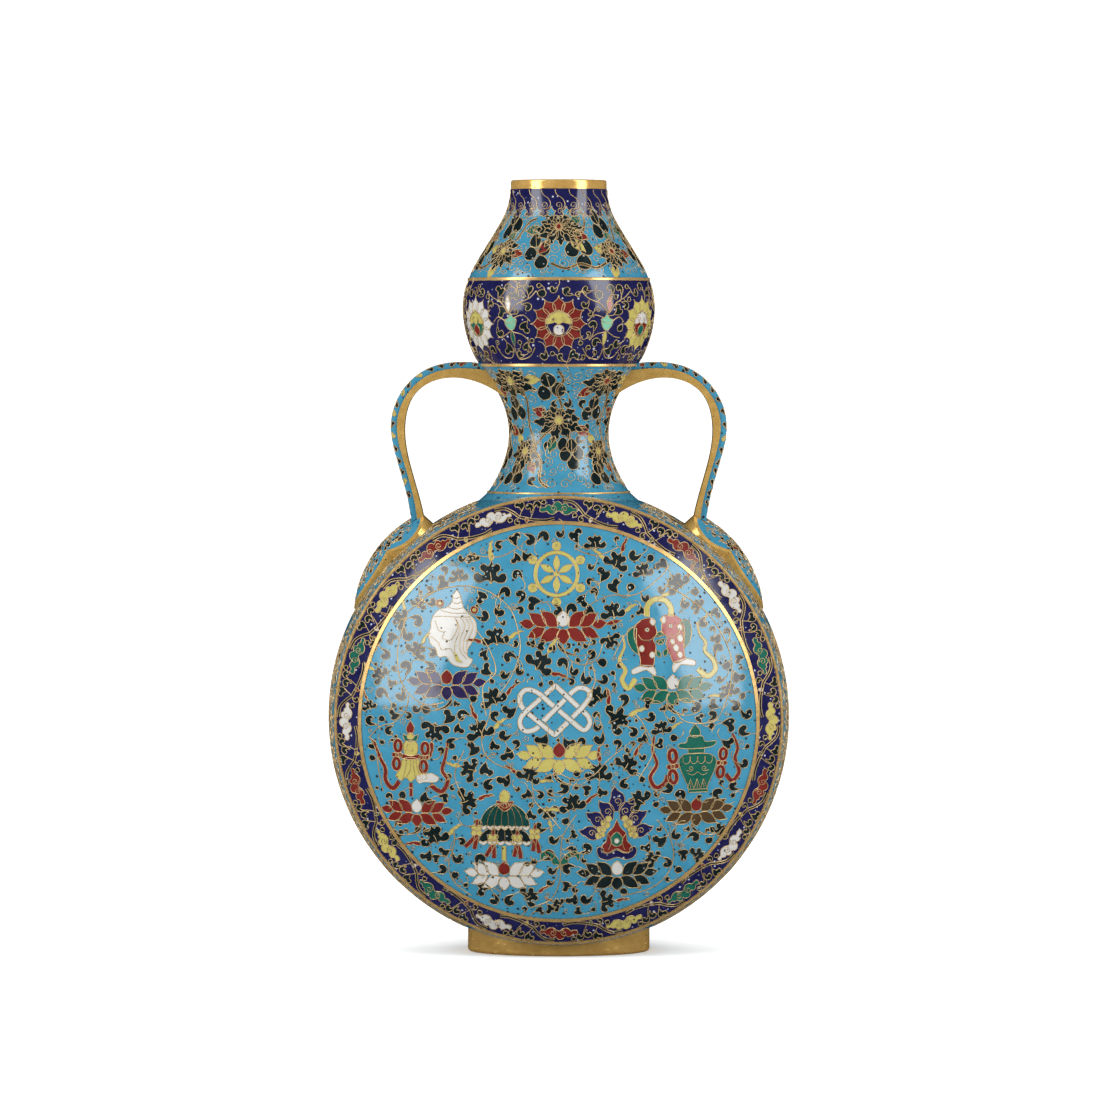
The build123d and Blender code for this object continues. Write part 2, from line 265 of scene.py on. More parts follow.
def circle(radius, x=0.0, y=0.0, squash=1.0):
    n = max(9, round(2 * math.pi * radius / STEP))
    a = np.arange(n) * 2 * math.pi / n
    return np.stack([x + radius * np.cos(a), y + radius * squash * np.sin(a)], 1)


def curl(radius, turns=1.2, tail=0.0, hand=1):
    """An open spiral that starts at the origin and winds inwards above it."""
    n = max(8, round(turns * 2 * math.pi * radius * 0.6 / (STEP * 0.7)))
    t = np.linspace(0, 1, n)
    a = -RIGHT_ANGLE + hand * t * turns * 2 * math.pi
    r = radius * (1 - 0.78 * t)
    spiral = np.stack([r * np.cos(a), radius + r * np.sin(a)], 1)
    if tail:
        spiral = np.concatenate([[(-hand * tail, 0.25 * tail)], spiral])
    return spiral


def inside(points, loop):
    """Which points lie inside a closed loop."""
    x, y = points[:, 0][:, None], points[:, 1][:, None]
    x1, y1 = loop[:, 0], loop[:, 1]
    x2, y2 = np.roll(x1, -1), np.roll(y1, -1)
    crosses = (y1 > y) != (y2 > y)
    with np.errstate(divide="ignore", invalid="ignore"):
        at = x1 + (y - y1) * (x2 - x1) / (y2 - y1)
    return (crosses & (x < at)).sum(1) % 2 == 1


class Field:
    """One enamelled surface, and the cells and wires drawn on it."""

    def __init__(self, name, place, grain):
        self.name, self.place, self.grain = name, place, grain
        self.meshes = {}
        self.taken = []

    def put(self, colour, verts, faces):
        mesh = self.meshes.setdefault(colour, ([], [], [0]))
        mesh[0].append(verts)
        mesh[1].extend([[i + mesh[2][0] for i in f] for f in faces])
        mesh[2][0] += len(verts)

    def fill(self, colour, loop, level):
        """A flat cell inside a closed loop, with inner points so that it follows the surface."""
        x, y = loop.T
        if (x * np.roll(y, -1) - y * np.roll(x, -1)).sum() < 0:
            loop = loop[::-1]
        low, high = loop.min(0), loop.max(0)
        g = self.grain
        grid = np.array([(i, j) for i in np.arange(low[0] + g / 2, high[0], g)
                         for j in np.arange(low[1] + g / 2, high[1], g)]).reshape(-1, 2)
        if len(grid):
            near = np.hypot(*(grid[:, None] - loop[None]).transpose(2, 0, 1)).min(1) > g * 0.4
            grid = grid[near & inside(grid, loop)]
        points = [Vector(p) for p in np.concatenate([loop, grid])]
        done = delaunay_2d_cdt(points, [], [list(range(len(loop)))], 1, 1e-5)
        flat = np.array([tuple(p) for p in done[0]])
        lift = CELL_LIFT + LEVEL_LIFT * level
        self.put(colour, self.place(flat[:, 0], flat[:, 1], lift), [list(f) for f in done[2]])

    def strip(self, colour, line, section, closed):
        """A ribbon along a line: section lists (offset to the left, lift) from left to right."""
        ahead = np.roll(line, -1, 0) - line
        behind = line - np.roll(line, 1, 0)
        if not closed:
            ahead[-1], behind[0] = behind[-1], ahead[0]
        tangent = ahead / np.maximum(np.hypot(*ahead.T), 1e-9)[:, None]
        tangent += behind / np.maximum(np.hypot(*behind.T), 1e-9)[:, None]
        tangent /= np.maximum(np.hypot(*tangent.T), 1e-9)[:, None]
        left = np.stack([-tangent[:, 1], tangent[:, 0]], 1)
        rows = []
        for offset, lift in section:
            side = line + left * np.asarray(offset).reshape(-1, 1)
            rows.append(self.place(side[:, 0], side[:, 1], lift))
        n, m = len(line), len(section)
        verts = np.stack(rows, 1).reshape(-1, 3)
        faces = []
        for i in range(n if closed else n - 1):
            j = (i + 1) % n
            faces += [[i * m + k, i * m + k + 1, j * m + k + 1, j * m + k] for k in range(m - 1)]
        self.put(colour, verts, faces)

    def wire(self, line, closed=False, width=WIRE, level=0):
        if len(line) < 2:
            return
        top = WIRE_LIFT + LEVEL_LIFT * level
        h = width / 2
        section = [(h, -WIRE_SINK), (h * 0.8, top - 0.05), (0, top), (-h * 0.8, top - 0.05),
                   (-h, -WIRE_SINK)]
        self.strip("wire", line, section, closed)


class Pen:
    """Draws on a field from a place, with a turn in degrees, a size and a flip."""

    def __init__(self, field, x=0.0, y=0.0, turn=0.0, size=1.0, flip=1):
        self.field, self.spot, self.size, self.flip = field, np.array([x, y]), size, flip
        self.turn = turn
        c, s = math.cos(math.radians(turn)), math.sin(math.radians(turn))
        self.grid = size * np.array([[c * flip, -s], [s * flip, c]])

    def at(self, x, y, turn=0.0, size=1.0, flip=1):
        x, y = self.map([(x, y)])[0]
        turn = self.turn + self.flip * turn
        return Pen(self.field, x, y, turn, self.size * size, self.flip * flip)

    def map(self, points):
        return np.asarray(points, float) @ self.grid.T + self.spot

    def cell(self, colour, points, level=0, curve=True, edge=True, width=WIRE):
        loop = self.map(points)
        if curve:
            loop = smooth(loop, True)
        self.field.fill(colour, loop, level)
        if edge:
            self.field.wire(loop, True, width, level)

    def disc(self, colour, radius, x=0.0, y=0.0, level=0, edge=True, squash=1.0):
        loop = self.map(circle(radius, x, y, squash))
        self.field.fill(colour, loop, level)
        if edge:
            self.field.wire(loop, True, WIRE, level)

    def line(self, points, closed=False, width=WIRE, level=0):
        self.field.wire(smooth(self.map(points), closed), closed, width, level)

    def band(self, colour, points, width, closed=False, level=0, taper=0.0, step=STEP):
        """A ribbon of colour between two wires; taper narrows it towards its start."""
        line = smooth(self.map(points), closed, step)
        share = np.linspace(0, 1, len(line))
        half = self.size * width / 2 * (1 - taper * (1 - share) ** 1.5)
        lift = CELL_LIFT + LEVEL_LIFT * level
        self.field.strip(colour, line, [(half, lift), (-half, lift)], closed)
        for side in (half, -half):
            tangent = np.gradient(line, axis=0)
            if closed:
                tangent = np.roll(line, -1, 0) - np.roll(line, 1, 0)
            tangent /= np.maximum(np.hypot(*tangent.T), 1e-9)[:, None]
            left = np.stack([-tangent[:, 1], tangent[:, 0]], 1)
            self.field.wire(line + left * side[:, None], closed, WIRE, level)

    def take(self, *spots):
        """Notes circles (x, y, radius) that the filling leaves keep clear of."""
        for x, y, radius in spots:
            at = self.map([(x, y)])[0]
            self.field.taken.append((at[0], at[1], radius * self.size))


def free(field, x, y, radius):
    return all(math.hypot(x - a, y - b) > radius + r for a, b, r in field.taken)


# ---------------------------------------------------------------- small motifs

COMMA = [(0, 0), (0, 0), (.5, .4), (.9, .95), (.86, 1.55), (.4, 1.95), (-.2, 1.9), (-.62, 1.5),
         (-.5, 1.05), (-.1, .95), (.15, 1.1), (.2, .75), (.05, .35)]
MITTEN = [(0, 0), (0, 0), (.5, .3), (1.0, .75), (1.2, 1.35), (.85, 1.75), (.4, 1.55), (.2, 1.9),
          (-.3, 2.1), (-.75, 1.8), (-.7, 1.3), (-.3, 1.15), (-.1, .75), (-.1, .35)]
BEAN = [(0, 0), (0, 0), (.55, .3), (.8, .9), (.45, 1.45), (-.2, 1.5), (-.6, 1.05), (-.4, .45)]
FLAME = [(0, 0), (0, 0), (.45, .5), (.5, 1.2), (.22, 1.9), (.5, 2.6), (.42, 3.2), (.8, 3.9), (.8, 3.9),
         (.0, 3.4), (-.1, 2.7), (-.38, 2.0), (-.42, 1.2), (-.35, .5)]
CLUSTER = [(0, 0), (0, 0), (.5, .5), (1.3, .2), (2.2, .3), (2.65, 1.0), (2.3, 1.75), (1.6, 1.6),
           (1.15, 1.25), (1.0, 1.8), (1.55, 2.3), (1.5, 3.0), (.9, 3.3), (.5, 3.0), (.1, 3.9),
           (.1, 3.9), (-.4, 2.9), (-1.1, 3.3), (-1.8, 2.9), (-1.6, 2.2), (-1.0, 1.8), (-1.3, 1.4),
           (-2.1, 1.8), (-2.85, 1.4), (-2.7, .6), (-1.9, .2), (-1.1, .5), (-.4, .6)]
CLOUD = [(-6.2, -.5), (-5.6, .35), (-4.6, .2), (-3.9, 1.0), (-2.9, 1.1), (-2.2, .7), (-1.5, 1.8),
         (-.4, 2.3), (.6, 1.9), (.9, 1.3), (1.7, 1.9), (2.7, 1.7), (3.1, .95), (3.9, 1.15), (4.6, .5),
         (5.6, .75), (6.2, .15), (5.7, -.45), (4.7, -.4), (3.9, -1.1), (2.8, -1.7), (1.5, -1.5),
         (.6, -.8), (-.2, -.7), (-.9, -1.3), (-2.0, -1.9), (-3.2, -1.6), (-3.9, -.9), (-4.9, -1.2),
         (-5.8, -1.1)]


def leaf(pen, colour, length, half, level=0):
    """A leaf pointed at both ends, along +y."""
    side = [(half * .8, length * .3), (half, length * .55), (half * .55, length * .82)]
    points = [(0, 0), (0, 0), *side, (0, length), (0, length), *[(-x, y) for x, y in side[::-1]]]
    pen.cell(colour, points, level)


def comma(pen, shape=COMMA, colour="black"):
    pen.cell(colour, shape)
    pen.take((.1, 1.2, 1.15))


def flame(pen, colour):
    pen.cell(colour, FLAME)
    pen.take((.1, 1.0, .7), (.3, 2.8, .7))


def cluster(pen, tip=None, side=None, other=None):
    """A lobed leaf with flame tips at its top, its right and its left."""
    pen.cell("black", CLUSTER)
    pen.line([(0, 0), (.05, 1.0), (-.1, 1.9)])
    pen.take((0, 1.6, 2.4), (2.0, 1.0, 1.0), (-2.2, 1.1, 1.0))
    if tip:
        flame(pen.at(.1, 3.7, 8, .85), tip)
    if side:
        flame(pen.at(2.5, 1.1, -62, .8), side)
    if other:
        flame(pen.at(-2.7, 1.1, 70, .8, -1), other)


def curls(pen, radius=1.0):
    """A small open spiral of thin wire."""
    pen.field.wire(pen.map(curl(radius, 1.25, 0.7)), False, THIN)
    pen.take((0, radius, radius))


def grape(pen, x, y, radius=2.0):
    r = radius
    pear = [(0, r * 1.25), (r * .7, r * .75), (r, 0), (r * .65, -r * .8), (0, -r), (-r * .65, -r * .8),
            (-r, 0), (-r * .7, r * .75)]
    pen.at(x, y).cell("black", pear)
    pen.take((x, y, r))


def grapes(pen, spots):
    for x, y in spots:
        grape(pen, x, y)
    pen.line([(spots[0][0], spots[0][1] + 2), (0, .6), (.2, -.2)])


TRIO = [(0, 2.3), (-2.1, -1.4), (2.1, -1.0)]
QUAD = [(-.6, 3.2), (-1.9, -.8), (2.3, .1), (1.3, -4.0)]
BUNCH = [(0, 2.6), (-2.4, -.2), (2.3, .2), (-3.1, 3.0), (.1, -2.9), (3.0, 3.2)]


def burst(pen, eye, tips, spread=(1.0, .8), leaves=10, length=5.2, lean=.3):
    """A vine leaf drawn as a star of broad wavy blades; lean makes it hang from its eye."""
    for i in range(leaves):
        a = 2 * math.pi * (i + .3) / leaves
        x, y = math.sin(a) * spread[0], math.cos(a) * spread[1]
        reach = length * math.hypot(x, y) * (1.0 if i % 2 else .84) * (1 - lean * math.cos(a))
        blade = pen.at(.7 * math.sin(a), .7 * math.cos(a), -math.degrees(math.atan2(x, y)))
        w = 1.4
        points = [(0, 0), (0, 0), (w * .8, reach * .2), (w * .7, reach * .36), (w * 1.1, reach * .52),
                  (w * .5, reach * .7),
                  (w * .55, reach * .82), (.1, reach), (.1, reach), (-w * .35, reach * .8),
                  (-w * .9, reach * .62),
                  (-w * .65, reach * .45), (-w, reach * .28)]
        if i in tips:
            petal(blade, tips[i], 0, reach * .6, .3, reach + 2.4, 1.25)
        blade.cell("black", points, 1)
    pen.disc(eye, 1.15, level=2)
    low = length * .3 * lean
    pen.take((0, -low, length * .85 * min(spread)), (length * .6 * spread[0], -low, 2),
             (-length * .6 * spread[0], -low, 2))


def cloud(pen, colour):
    pen.cell(colour, CLOUD)
    for x, y, hand in ((-1.7, -1.2, 1), (1.9, -1.1, -1)):
        spiral = curl(1.15, 1.35, 0, hand)
        pen.field.wire(pen.map(spiral + (x, y)), False, THIN, 1)


def petal(pen, colour, x, y, tip_x, tip_y, half, level=0):
    """A broad petal from its base to its pointed tip."""
    length = math.hypot(tip_x - x, tip_y - y)
    turn = math.degrees(math.atan2(x - tip_x, tip_y - y))
    h = half
    side = [(h * .85, .24), (h, .5), (h * .62, .76), (h * .16, .92), (h * .1, 1.05), (h * .1, 1.05),
            (-h * .45, .86),
            (-h, .6), (-h * .9, .3)]
    points = [(0, 0), (0, 0), *[(x, y * length) for x, y in side]]
    pen.at(x, y, turn).cell(colour, points, level)


def lotus(pen, colour, bud, tail=False):
    """A lotus seen from the side: two rows of petals either side of a bud."""
    for hand in (1, -1):
        half = pen.at(0, 0, 0, 1, hand)
        petal(half, colour, 8.3, .6, 12.6, 1.3, 1.3)
        petal(half, colour, 4.7, .3, 9.9, 4.0, 1.6)
        petal(half, colour, 1.6, .2, 6.4, 4.6, 1.75)
        petal(half, colour, 5.2, -.2, 10.3, -2.8, -1.45)
        petal(half, colour, 1.0, -.4, 6.9, -3.9, -1.7)
        if tail and hand > 0:
            petal(half, colour, 12.2, .9, 16.8, 1.9, .6)
    pen.cell(colour, [(0, -.4), (1.5, -1.2), (1.75, -2.8), (.9, -4.2), (.1, -4.9), (.1, -4.9),
                      (-.9, -4.2), (-1.75, -2.8), (-1.5, -1.2)], 1)
    drop = [(0, 4.9), (0, 4.9), (1.4, 3.6), (1.85, 2.1), (1.1, .7), (0, .3), (-1.1, .7), (-1.85, 2.1),
            (-1.4, 3.6)]
    pen.cell(bud, drop, 1)
    pen.take(*[(x, 0.2, 3.4) for x in (-10, -5, 0, 5, 10)])


def foot_stem(pen, flip=1):
    """The dark curved stalk below a lotus, with its hooks."""
    side = pen.at(0, 0, 0, 1, flip)
    side.cell("black", [(1.6, -3.9), (1.6, -3.9), (1.5, -5.6), (-.6, -7.4), (-4.2, -8.1), (-4.2, -8.1),
                        (-.9, -6.8), (.7, -5.2)])
    comma(side.at(2.6, -4.6, -150, 1.1), MITTEN)
    comma(side.at(-3.4, -7.8, 30, 1.05))
    side.line([(-4.2, -8.1), (-7.2, -7.6), (-9.2, -5.8)])


# ---------------------------------------------------------------- the eight emblems

def wheel(pen):
    pen.band("yellow", circle(7.45), 1.15, True)
    for k in range(6):
        leaf(pen.at(0, 0, 60 * k).at(0, .9), "yellow", 5.6, 1.1)
        bead = pen.at(0, 0, 60 * k).at(0, 9.7)
        bead.disc("yellow", 1.55)
        bead.field.wire(bead.map(curl(.85, 1.2) - (0, .85)), False, THIN, 1)
    pen.disc("yellow", .95, level=1)
    pen.take((0, 0, 10.6))


def conch(pen):
    shell = [(1.3, 13.3), (1.3, 13.3), (.1, 11.6), (-.1, 9.9), (-1.7, 7.9), (-4.7, 6.7), (-6.5, 4.4),
             (-7.0, 1.2), (-7.7, -.6), (-7.0, -3.9), (-5.4, -5.2), (-4.4, -7.9), (-2.0, -7.7),
             (-.4, -9.8), (2.2, -10.9), (4.9, -10.8), (6.3, -8.6), (4.9, -7.6), (4.7, -5.7),
             (6.3, -2.9), (7.5, -.2), (7.2, 3.5), (5.4, 5.5), (3.5, 7.6), (2.9, 9.5),
             (2.3, 11.7)]
    pen.cell("white", shell)
    for points in ([(-.1, 11.0), (1.1, 10.5), (2.4, 11.1)], [(-.3, 9.6), (1.2, 8.9), (2.9, 9.5)],
                   [(-1.7, 7.9), (.9, 7.2), (3.5, 7.7)], [(-3.6, 6.7), (0, 5.9), (4.9, 6.0)],
                   [(-6.1, 4.6), (-3.0, 4.9), (1.6, 4.7), (5.6, 4.9)],
                   [(-5.6, 3.4), (-4.4, .5), (-2.7, -.2), (-3.3, -1.9), (-.9, -2.6), (.6, -1.0),
                    (1.6, 2.0), (.7, 4.4)],
                   [(2.4, 4.7), (3.9, 2.0), (2.4, -2.4), (2.6, -6.0), (4.6, -8.4)],
                   [(3.9, 4.8), (5.3, 1.9), (3.7, -2.3), (3.5, -5.6), (4.9, -7.4)],
                   [(5.3, 4.6), (6.5, 1.6), (5.0, -2.4), (4.3, -5.6)],
                   [(-7.2, -1.4), (-4.6, -3.3), (-3.4, -5.6), (-.8, -5.2), (.3, -6.6), (1.2, -9.0),
                    (3.2, -9.6)],
                   [(1.2, 4.0), (2.2, .6), (.9, -3.2), (.7, -6.2)]):
        pen.line(points, width=THIN, level=1)
    pen.cell("yellow", [(.6, -6.2), (.6, -6.2), (1.5, -6.9), (2.2, -8.6), (3.3, -9.1), (1.6, -9.2),
                        (.9, -7.8)], 1, edge=False)
    for x, y in ((-4.1, 8.9), (6.9, 7.0)):
        pen.disc("red", 1.25, x, y)
        pen.disc("yellow", .55, x, y, 1)
    pen.take((0, 8, 5), (0, 1, 8), (1, -7, 6))


def fish(pen, colour, spots):
    """A fish that stands on its tail and looks up and to the right."""
    body = [(-4.1, 11.8), (-6.9, 10.9), (-8.6, 8.6), (-8.6, 5.3), (-7.4, 2.0), (-6.7, -1.7), (-6.6, -3.2),
            (-2.9, -3.4), (-2.2, -.3), (-1.8, 3.0), (-2.6, 4.9), (-1.5, 7.0), (-2.1, 9.5), (-2.7, 11.4)]
    tail = [(-6.6, -2.9), (-6.6, -2.9), (-9.4, -4.4), (-9.0, -5.8), (-6.2, -4.9), (-4.7, -4.6),
            (-2.2, -6.3), (-1.9, -4.9), (-2.9, -3.1),
            (-2.9, -3.1)]
    fin = [(-7.9, 8.6), (-7.9, 8.6), (-10.5, 8.4), (-10.8, 5.0), (-9.3, 1.8), (-7.2, .2), (-7.2, .2),
           (-8.0, 4.4)]
    pen.cell("green", fin)
    pen.cell(colour, body)
    pen.cell("white", tail)
    pen.cell("white", [(-3.3, 11.7), (-3.6, 10.4), (-2.8, 9.4), (-2.0, 10.2), (-2.2, 11.3)], 1)
    for x, y, turn in ((-1.9, 4.6, -110), (-1.6, 1.6, -150), (-2.0, 5.9, -60)):
        leaf(pen.at(x, y, turn), "green", 2.6, .75)
    pen.line([(-7.4, 6.6), (-6.2, 5.0), (-3.6, 4.9), (-2.5, 5.8)], level=1)
    pen.disc("white", .62, -4.6, 8.1, 1)
    pen.disc("black", .26, -4.6, 8.1, 2, edge=False)
    for x, y, r in spots:
        pen.disc("white", r, x, y, 1, squash=1.3)


def fishes(pen):
    fish(pen, "red", [(-6.3, 2.2, .8), (-3.0, .2, .8)])
    # the second fish is filled with a lighter red: a painted highlight over its red enamel
    fish(pen.at(.4, .2, 14, 1.0, -1), "pink_and_highlit_red", [(-6.6, 3.6, .9), (-4.6, 1.0, .9), (-5.3, -1.4, .8),
                                               (-7.4, 6.9, .8), (-4.0, 3.2, .7)])
    pen.band("yellow", [(-4.6, 12.2), (-4.4, 15.6), (-2.0, 17.6), (1.2, 17.2), (3.0, 14.8),
                        (3.0, 12.2)], 1.6)
    pen.band("yellow", [(-12.5, 6.6), (-11.8, 3.0), (-13.4, -1.3), (-11.5, -4.5), (-12.6, -7.6),
                        (-10.6, -10.2),
                        (-8.3, -7.2)], 1.5, taper=.8)
    pen.band("yellow", [(11.4, 10.2), (12.3, 6.4), (14.1, 3.9), (13.9, 1.1), (16.5, -1.7), (17.2, -4.8),
                        (14.6, -6.8), (11.6, -4.4)], 1.6, taper=.8)
    pen.take((-5, 6, 7), (5, 6, 7), (-3, -2, 7), (7, -2, 6), (0, 15, 4), (-12, 0, 2.2), (-12, -7, 2.5),
             (14, 3, 2.5),
             (15, -4, 3.5))


KNOT = [(-5.5, 5.7), (8.0, -5.6), (9.7, -6.0), (11.0, -4.0), (10.4, -1.8), (8.6, .0), (.1, 8.0),
        (.1, 8.0), (-8.6, .2), (-10.6, -2.0), (-11.0, -4.6), (-9.2, -6.5), (-6.0, -5.7), (5.4, 5.8),
        (7.6, 7.2), (10.2, 6.6), (11.0, 4.4), (8.8, 1.2), (-.1, -7.8), (-.1, -7.8), (-8.8, -.6),
        (-10.8, 1.8), (-11.0, 4.6), (-9.0, 6.6)]


def knot(pen):
    """An endless knot: one closed band that weaves over and under itself."""
    width = 1.4
    line = []
    for a, b in zip(KNOT, KNOT[1:] + KNOT[:1]):
        line.append(a)
        if math.dist(a, b) > 6:
            line += [(a[0] + (b[0] - a[0]) * k / 4, a[1] + (b[1] - a[1]) * k / 4) for k in (1, 2, 3)]
    line = smooth(line, True, .12)
    n = len(line)
    apart = np.hypot(*(line[:, None] - line[None]).transpose(2, 0, 1))
    crossings = []
    for i, j in zip(*np.where(apart < .09)):
        if 20 < j - i < n - 20 and all(min(abs(i - a), abs(j - b)) > 12 for a, b in crossings):
            crossings.append((i, j))
    passes = sorted(i for pair in crossings for i in pair)
    keep = np.ones(n, bool)
    reach = round((width / 2 + .3) / .12)
    for i in passes[1::2]:
        keep[np.arange(i - reach, i + reach + 1) % n] = False
    start = int(np.argmin(keep))
    run = []
    for k in range(n + 1):
        i = (start + k) % n
        if keep[i] and k < n:
            run.append(line[i])
        elif run:
            pen.band("white", run[::4] + [run[-1]], width, level=1)
            run = []
    pen.take((-8, 4, 4), (-8, -4, 4), (0, 0, 8), (8, 4, 4), (8, -4, 4))


def bow(pen, colour="red"):
    """Two loops of ribbon, one over the other, tied between."""
    for y, tilt in ((2.9, 12), (-2.9, -12)):
        ring = [(1.0 * math.sin(a) + math.radians(tilt) * 1.2, y + 1.75 * math.cos(a))
                for a in np.linspace(0, 2 * math.pi, 11)[:-1]]
        pen.band(colour, ring, 1.15, True)
    for x in (-1.0, 1.0):
        pen.disc(colour, .75, x, 0)
    pen.disc(colour, .6, 0, 0, 1)
    pen.take((0, 0, 4.2))


def banner(pen):
    """A victory banner: a draped skirt under a crowned head, with bows and streamers."""
    pen.cell("red", [(-.1, 14.2), (-.1, 14.2), (1.1, 12.2), (.8, 10.4), (-.2, 10.0), (-1.2, 10.5),
                     (-1.3, 12.0)])
    pen.cell("green", [(-2.3, 9.9), (-1.2, 9.3), (0, 10.2), (1.2, 9.3), (2.4, 9.8), (2.1, 8.2),
                       (.9, 7.4), (-.9, 7.4), (-2.1, 8.2)])
    pen.cell("yellow", [(-1.1, 9.6), (0, 10.3), (1.1, 9.5), (.8, 8.4), (-.8, 8.4)], 1)
    pen.cell("yellow", [(-2.1, 6.9), (-1.0, 7.6), (1.1, 7.6), (2.2, 6.6), (2.2, 4.2), (1.2, 3.2),
                        (-1.2, 3.2), (-2.2, 4.4)])
    pen.line([(1.2, 6.6), (-.6, 6.8), (-1.2, 5.4), (-.4, 4.4), (.8, 4.7), (.6, 5.7)], width=THIN, level=1)
    pen.cell("yellow", [(-2.2, 2.0), (2.4, 2.0), (3.3, -1.2), (5.3, -3.8), (3.0, -5.0), (1.5, -4.2),
                        (0, -5.5), (-1.6, -4.1), (-2.9, -5.1), (-4.8, -3.7),
                        (-3.2, -1.0)])
    for points in ([(-1.2, 1.8), (-1.7, -1.4), (-2.6, -4.8)], [(0, 1.8), (-.1, -1.5), (-1.5, -4.1)],
                   [(.8, 1.8), (1.1, -1.6), (1.5, -4.2)], [(1.7, 1.8), (2.2, -1.4), (3.6, -4.6)]):
        pen.line(points, width=THIN, level=1)
    pen.cell("white", [(1.9, -3.5), (3.4, -3.0), (5, -2.8), (6.9, -2.6), (8.9, -3.7), (8.7, -4.9),
                       (7.2, -5.4), (4.6, -5.3), (2.8, -5.7),
                       (1.9, -4.9)], 1)
    pen.cell("red", [(-2.9, 3.5), (0, 2.9), (2.9, 3.5), (3.1, 2.2), (0, 1.7), (-3.1, 2.2)], 1)
    bow(pen.at(-4.3, 3.1, 0, 1.0))
    bow(pen.at(4.4, 2.5, 0, 1.0))
    pen.band("red", [(-11.9, 7.4), (-10.0, 2.2), (-8.2, -1.5), (-8.1, -5.2), (-5.8, -7.8),
                     (-3.7, -5.4)], 1.5, taper=.5)
    pen.band("red", [(11.9, 7.4), (11.0, 2.2), (10.1, -1.5), (11.9, -4.6), (9.9, -8.3), (6.2, -6.2)],
             1.5, taper=.5)
    pen.band("red", [(.1, -5.8), (.1, -10.2)], 1.1)
    pen.take((0, 11, 2.6), (0, 4, 6), (0, -3, 6), (-9, 0, 2), (-7, -6, 2.6), (11, 1, 2.2), (9, -6, 3),
             (0, -8, 2))


def urn(pen):
    """A lidded vase tied with bows and streamers."""
    pen.cell("green", [(-.8, 12.3), (-.8, 12.3), (.8, 10.0), (.7, 8.6), (-.8, 8.0), (-2.3, 8.6),
                       (-2.4, 10.0)])
    pen.cell("green", [(-2.8, 8.3), (1.4, 8.3), (2.4, 6.6), (5.9, 6.6), (5.0, 5.1), (2, 4.5), (-4, 4.4),
                       (-6.2, 5.0), (-5.6, 6.1),
                       (-3.6, 6.4)])
    pen.cell("green", [(-3.1, 4.3), (2.3, 4.3), (2.1, 2.9), (-3.0, 2.9)], curve=False)
    pen.cell("green", [(-3.5, 2.7), (2.7, 2.7), (4.8, 2.0), (6.0, .6), (5.7, -2.0), (4.2, -5.5),
                       (3.2, -8.0), (3.4, -9.7), (3.4, -9.7), (-2.9, -9.7), (-2.9, -9.7), (-2.9, -8.2),
                       (-4.2, -5.2), (-5.6, -1.8), (-5.9, .8),
                       (-4.9, 2.1)])
    for x in (-3.6, -1.2, 1.2, 3.6):
        pen.line([(x - 1.1, 1.9), (x - 1.0, .2), (x, -.5), (x + 1.0, .2), (x + 1.1, 1.9)], width=THIN,
                 level=1)
    for hand in (1, -1):
        scroll = pen.at(0, -2.9, 0, 1, hand)
        scroll.field.wire(scroll.map(curl(.9, 1.2, 1.4, -1) + (2.2, 0)), False, THIN, 1)
        scroll.line([(0, -.2), (1.6, -1.2), (3.2, -.6)], width=THIN, level=1)
    for x in (-2.2, -.1, 2.0):
        pen.line([(x - 1.0, -8.4), (x, -5.4), (x, -5.4), (x + 1.0, -8.4)], width=THIN, level=1)
        pen.line([(x, -8.4), (x, -6.6)], width=THIN, level=1)
    pen.line([(-2.9, -8.7), (3.2, -8.7)], width=THIN, level=1)
    bow(pen.at(-7.9, -1.2, 6, 1.15))
    bow(pen.at(7.8, -.5, -4, 1.0))
    pen.band("red", [(-13.9, 8.6), (-14.3, 3.9), (-13.0, -.4), (-15.1, -4.6), (-13.2, -7.8),
                     (-10.4, -6.4), (-9.6, -4.0)], 1.45, taper=.5)
    pen.band("red", [(11.2, 8.8), (12.9, 4.4), (12.1, .7), (13.4, -3.5), (11.2, -6.4), (9.2, -4.2)],
             1.45, taper=.5)
    pen.take((-1, 9, 4), (0, 4, 6.4), (0, -3, 7.4), (-13.8, 3, 2), (-13.6, -5, 2.6), (12.4, 3, 2),
             (12, -4, 2.4), (-8, -1, 4), (8, -1, 4))


def tier(pen, wide, top, tall, low, gores, colour):
    """One tier of the canopy: ribbed gores with pale scalloped hems."""
    def meridian(k, q):
        return (wide * k * math.sin(q), low + tall * math.cos(q))

    for i in range(gores):
        a, b = -1 + 2 * i / gores, -1 + 2 * (i + 1) / gores
        angles = np.linspace(top, RIGHT_ANGLE, 6)
        left = [meridian(a, q) for q in angles]
        right = [meridian(b, q) for q in angles]
        x0, x1 = left[-1][0], right[-1][0]
        hem = [(x1 + (x0 - x1) * s, low - .95 * math.sin(math.pi * s)) for s in (.25, .5, .75)]
        pen.cell(colour, [*right, right[-1], *hem, left[-1], *left[::-1]])
        inner = [(x0 + (x1 - x0) * s, low + .75 - .7 * math.sin(math.pi * s)) for s in (.15, .5, .85)]
        pen.cell("white", [left[-1], left[-1], *inner, right[-1], right[-1], *hem], 1)


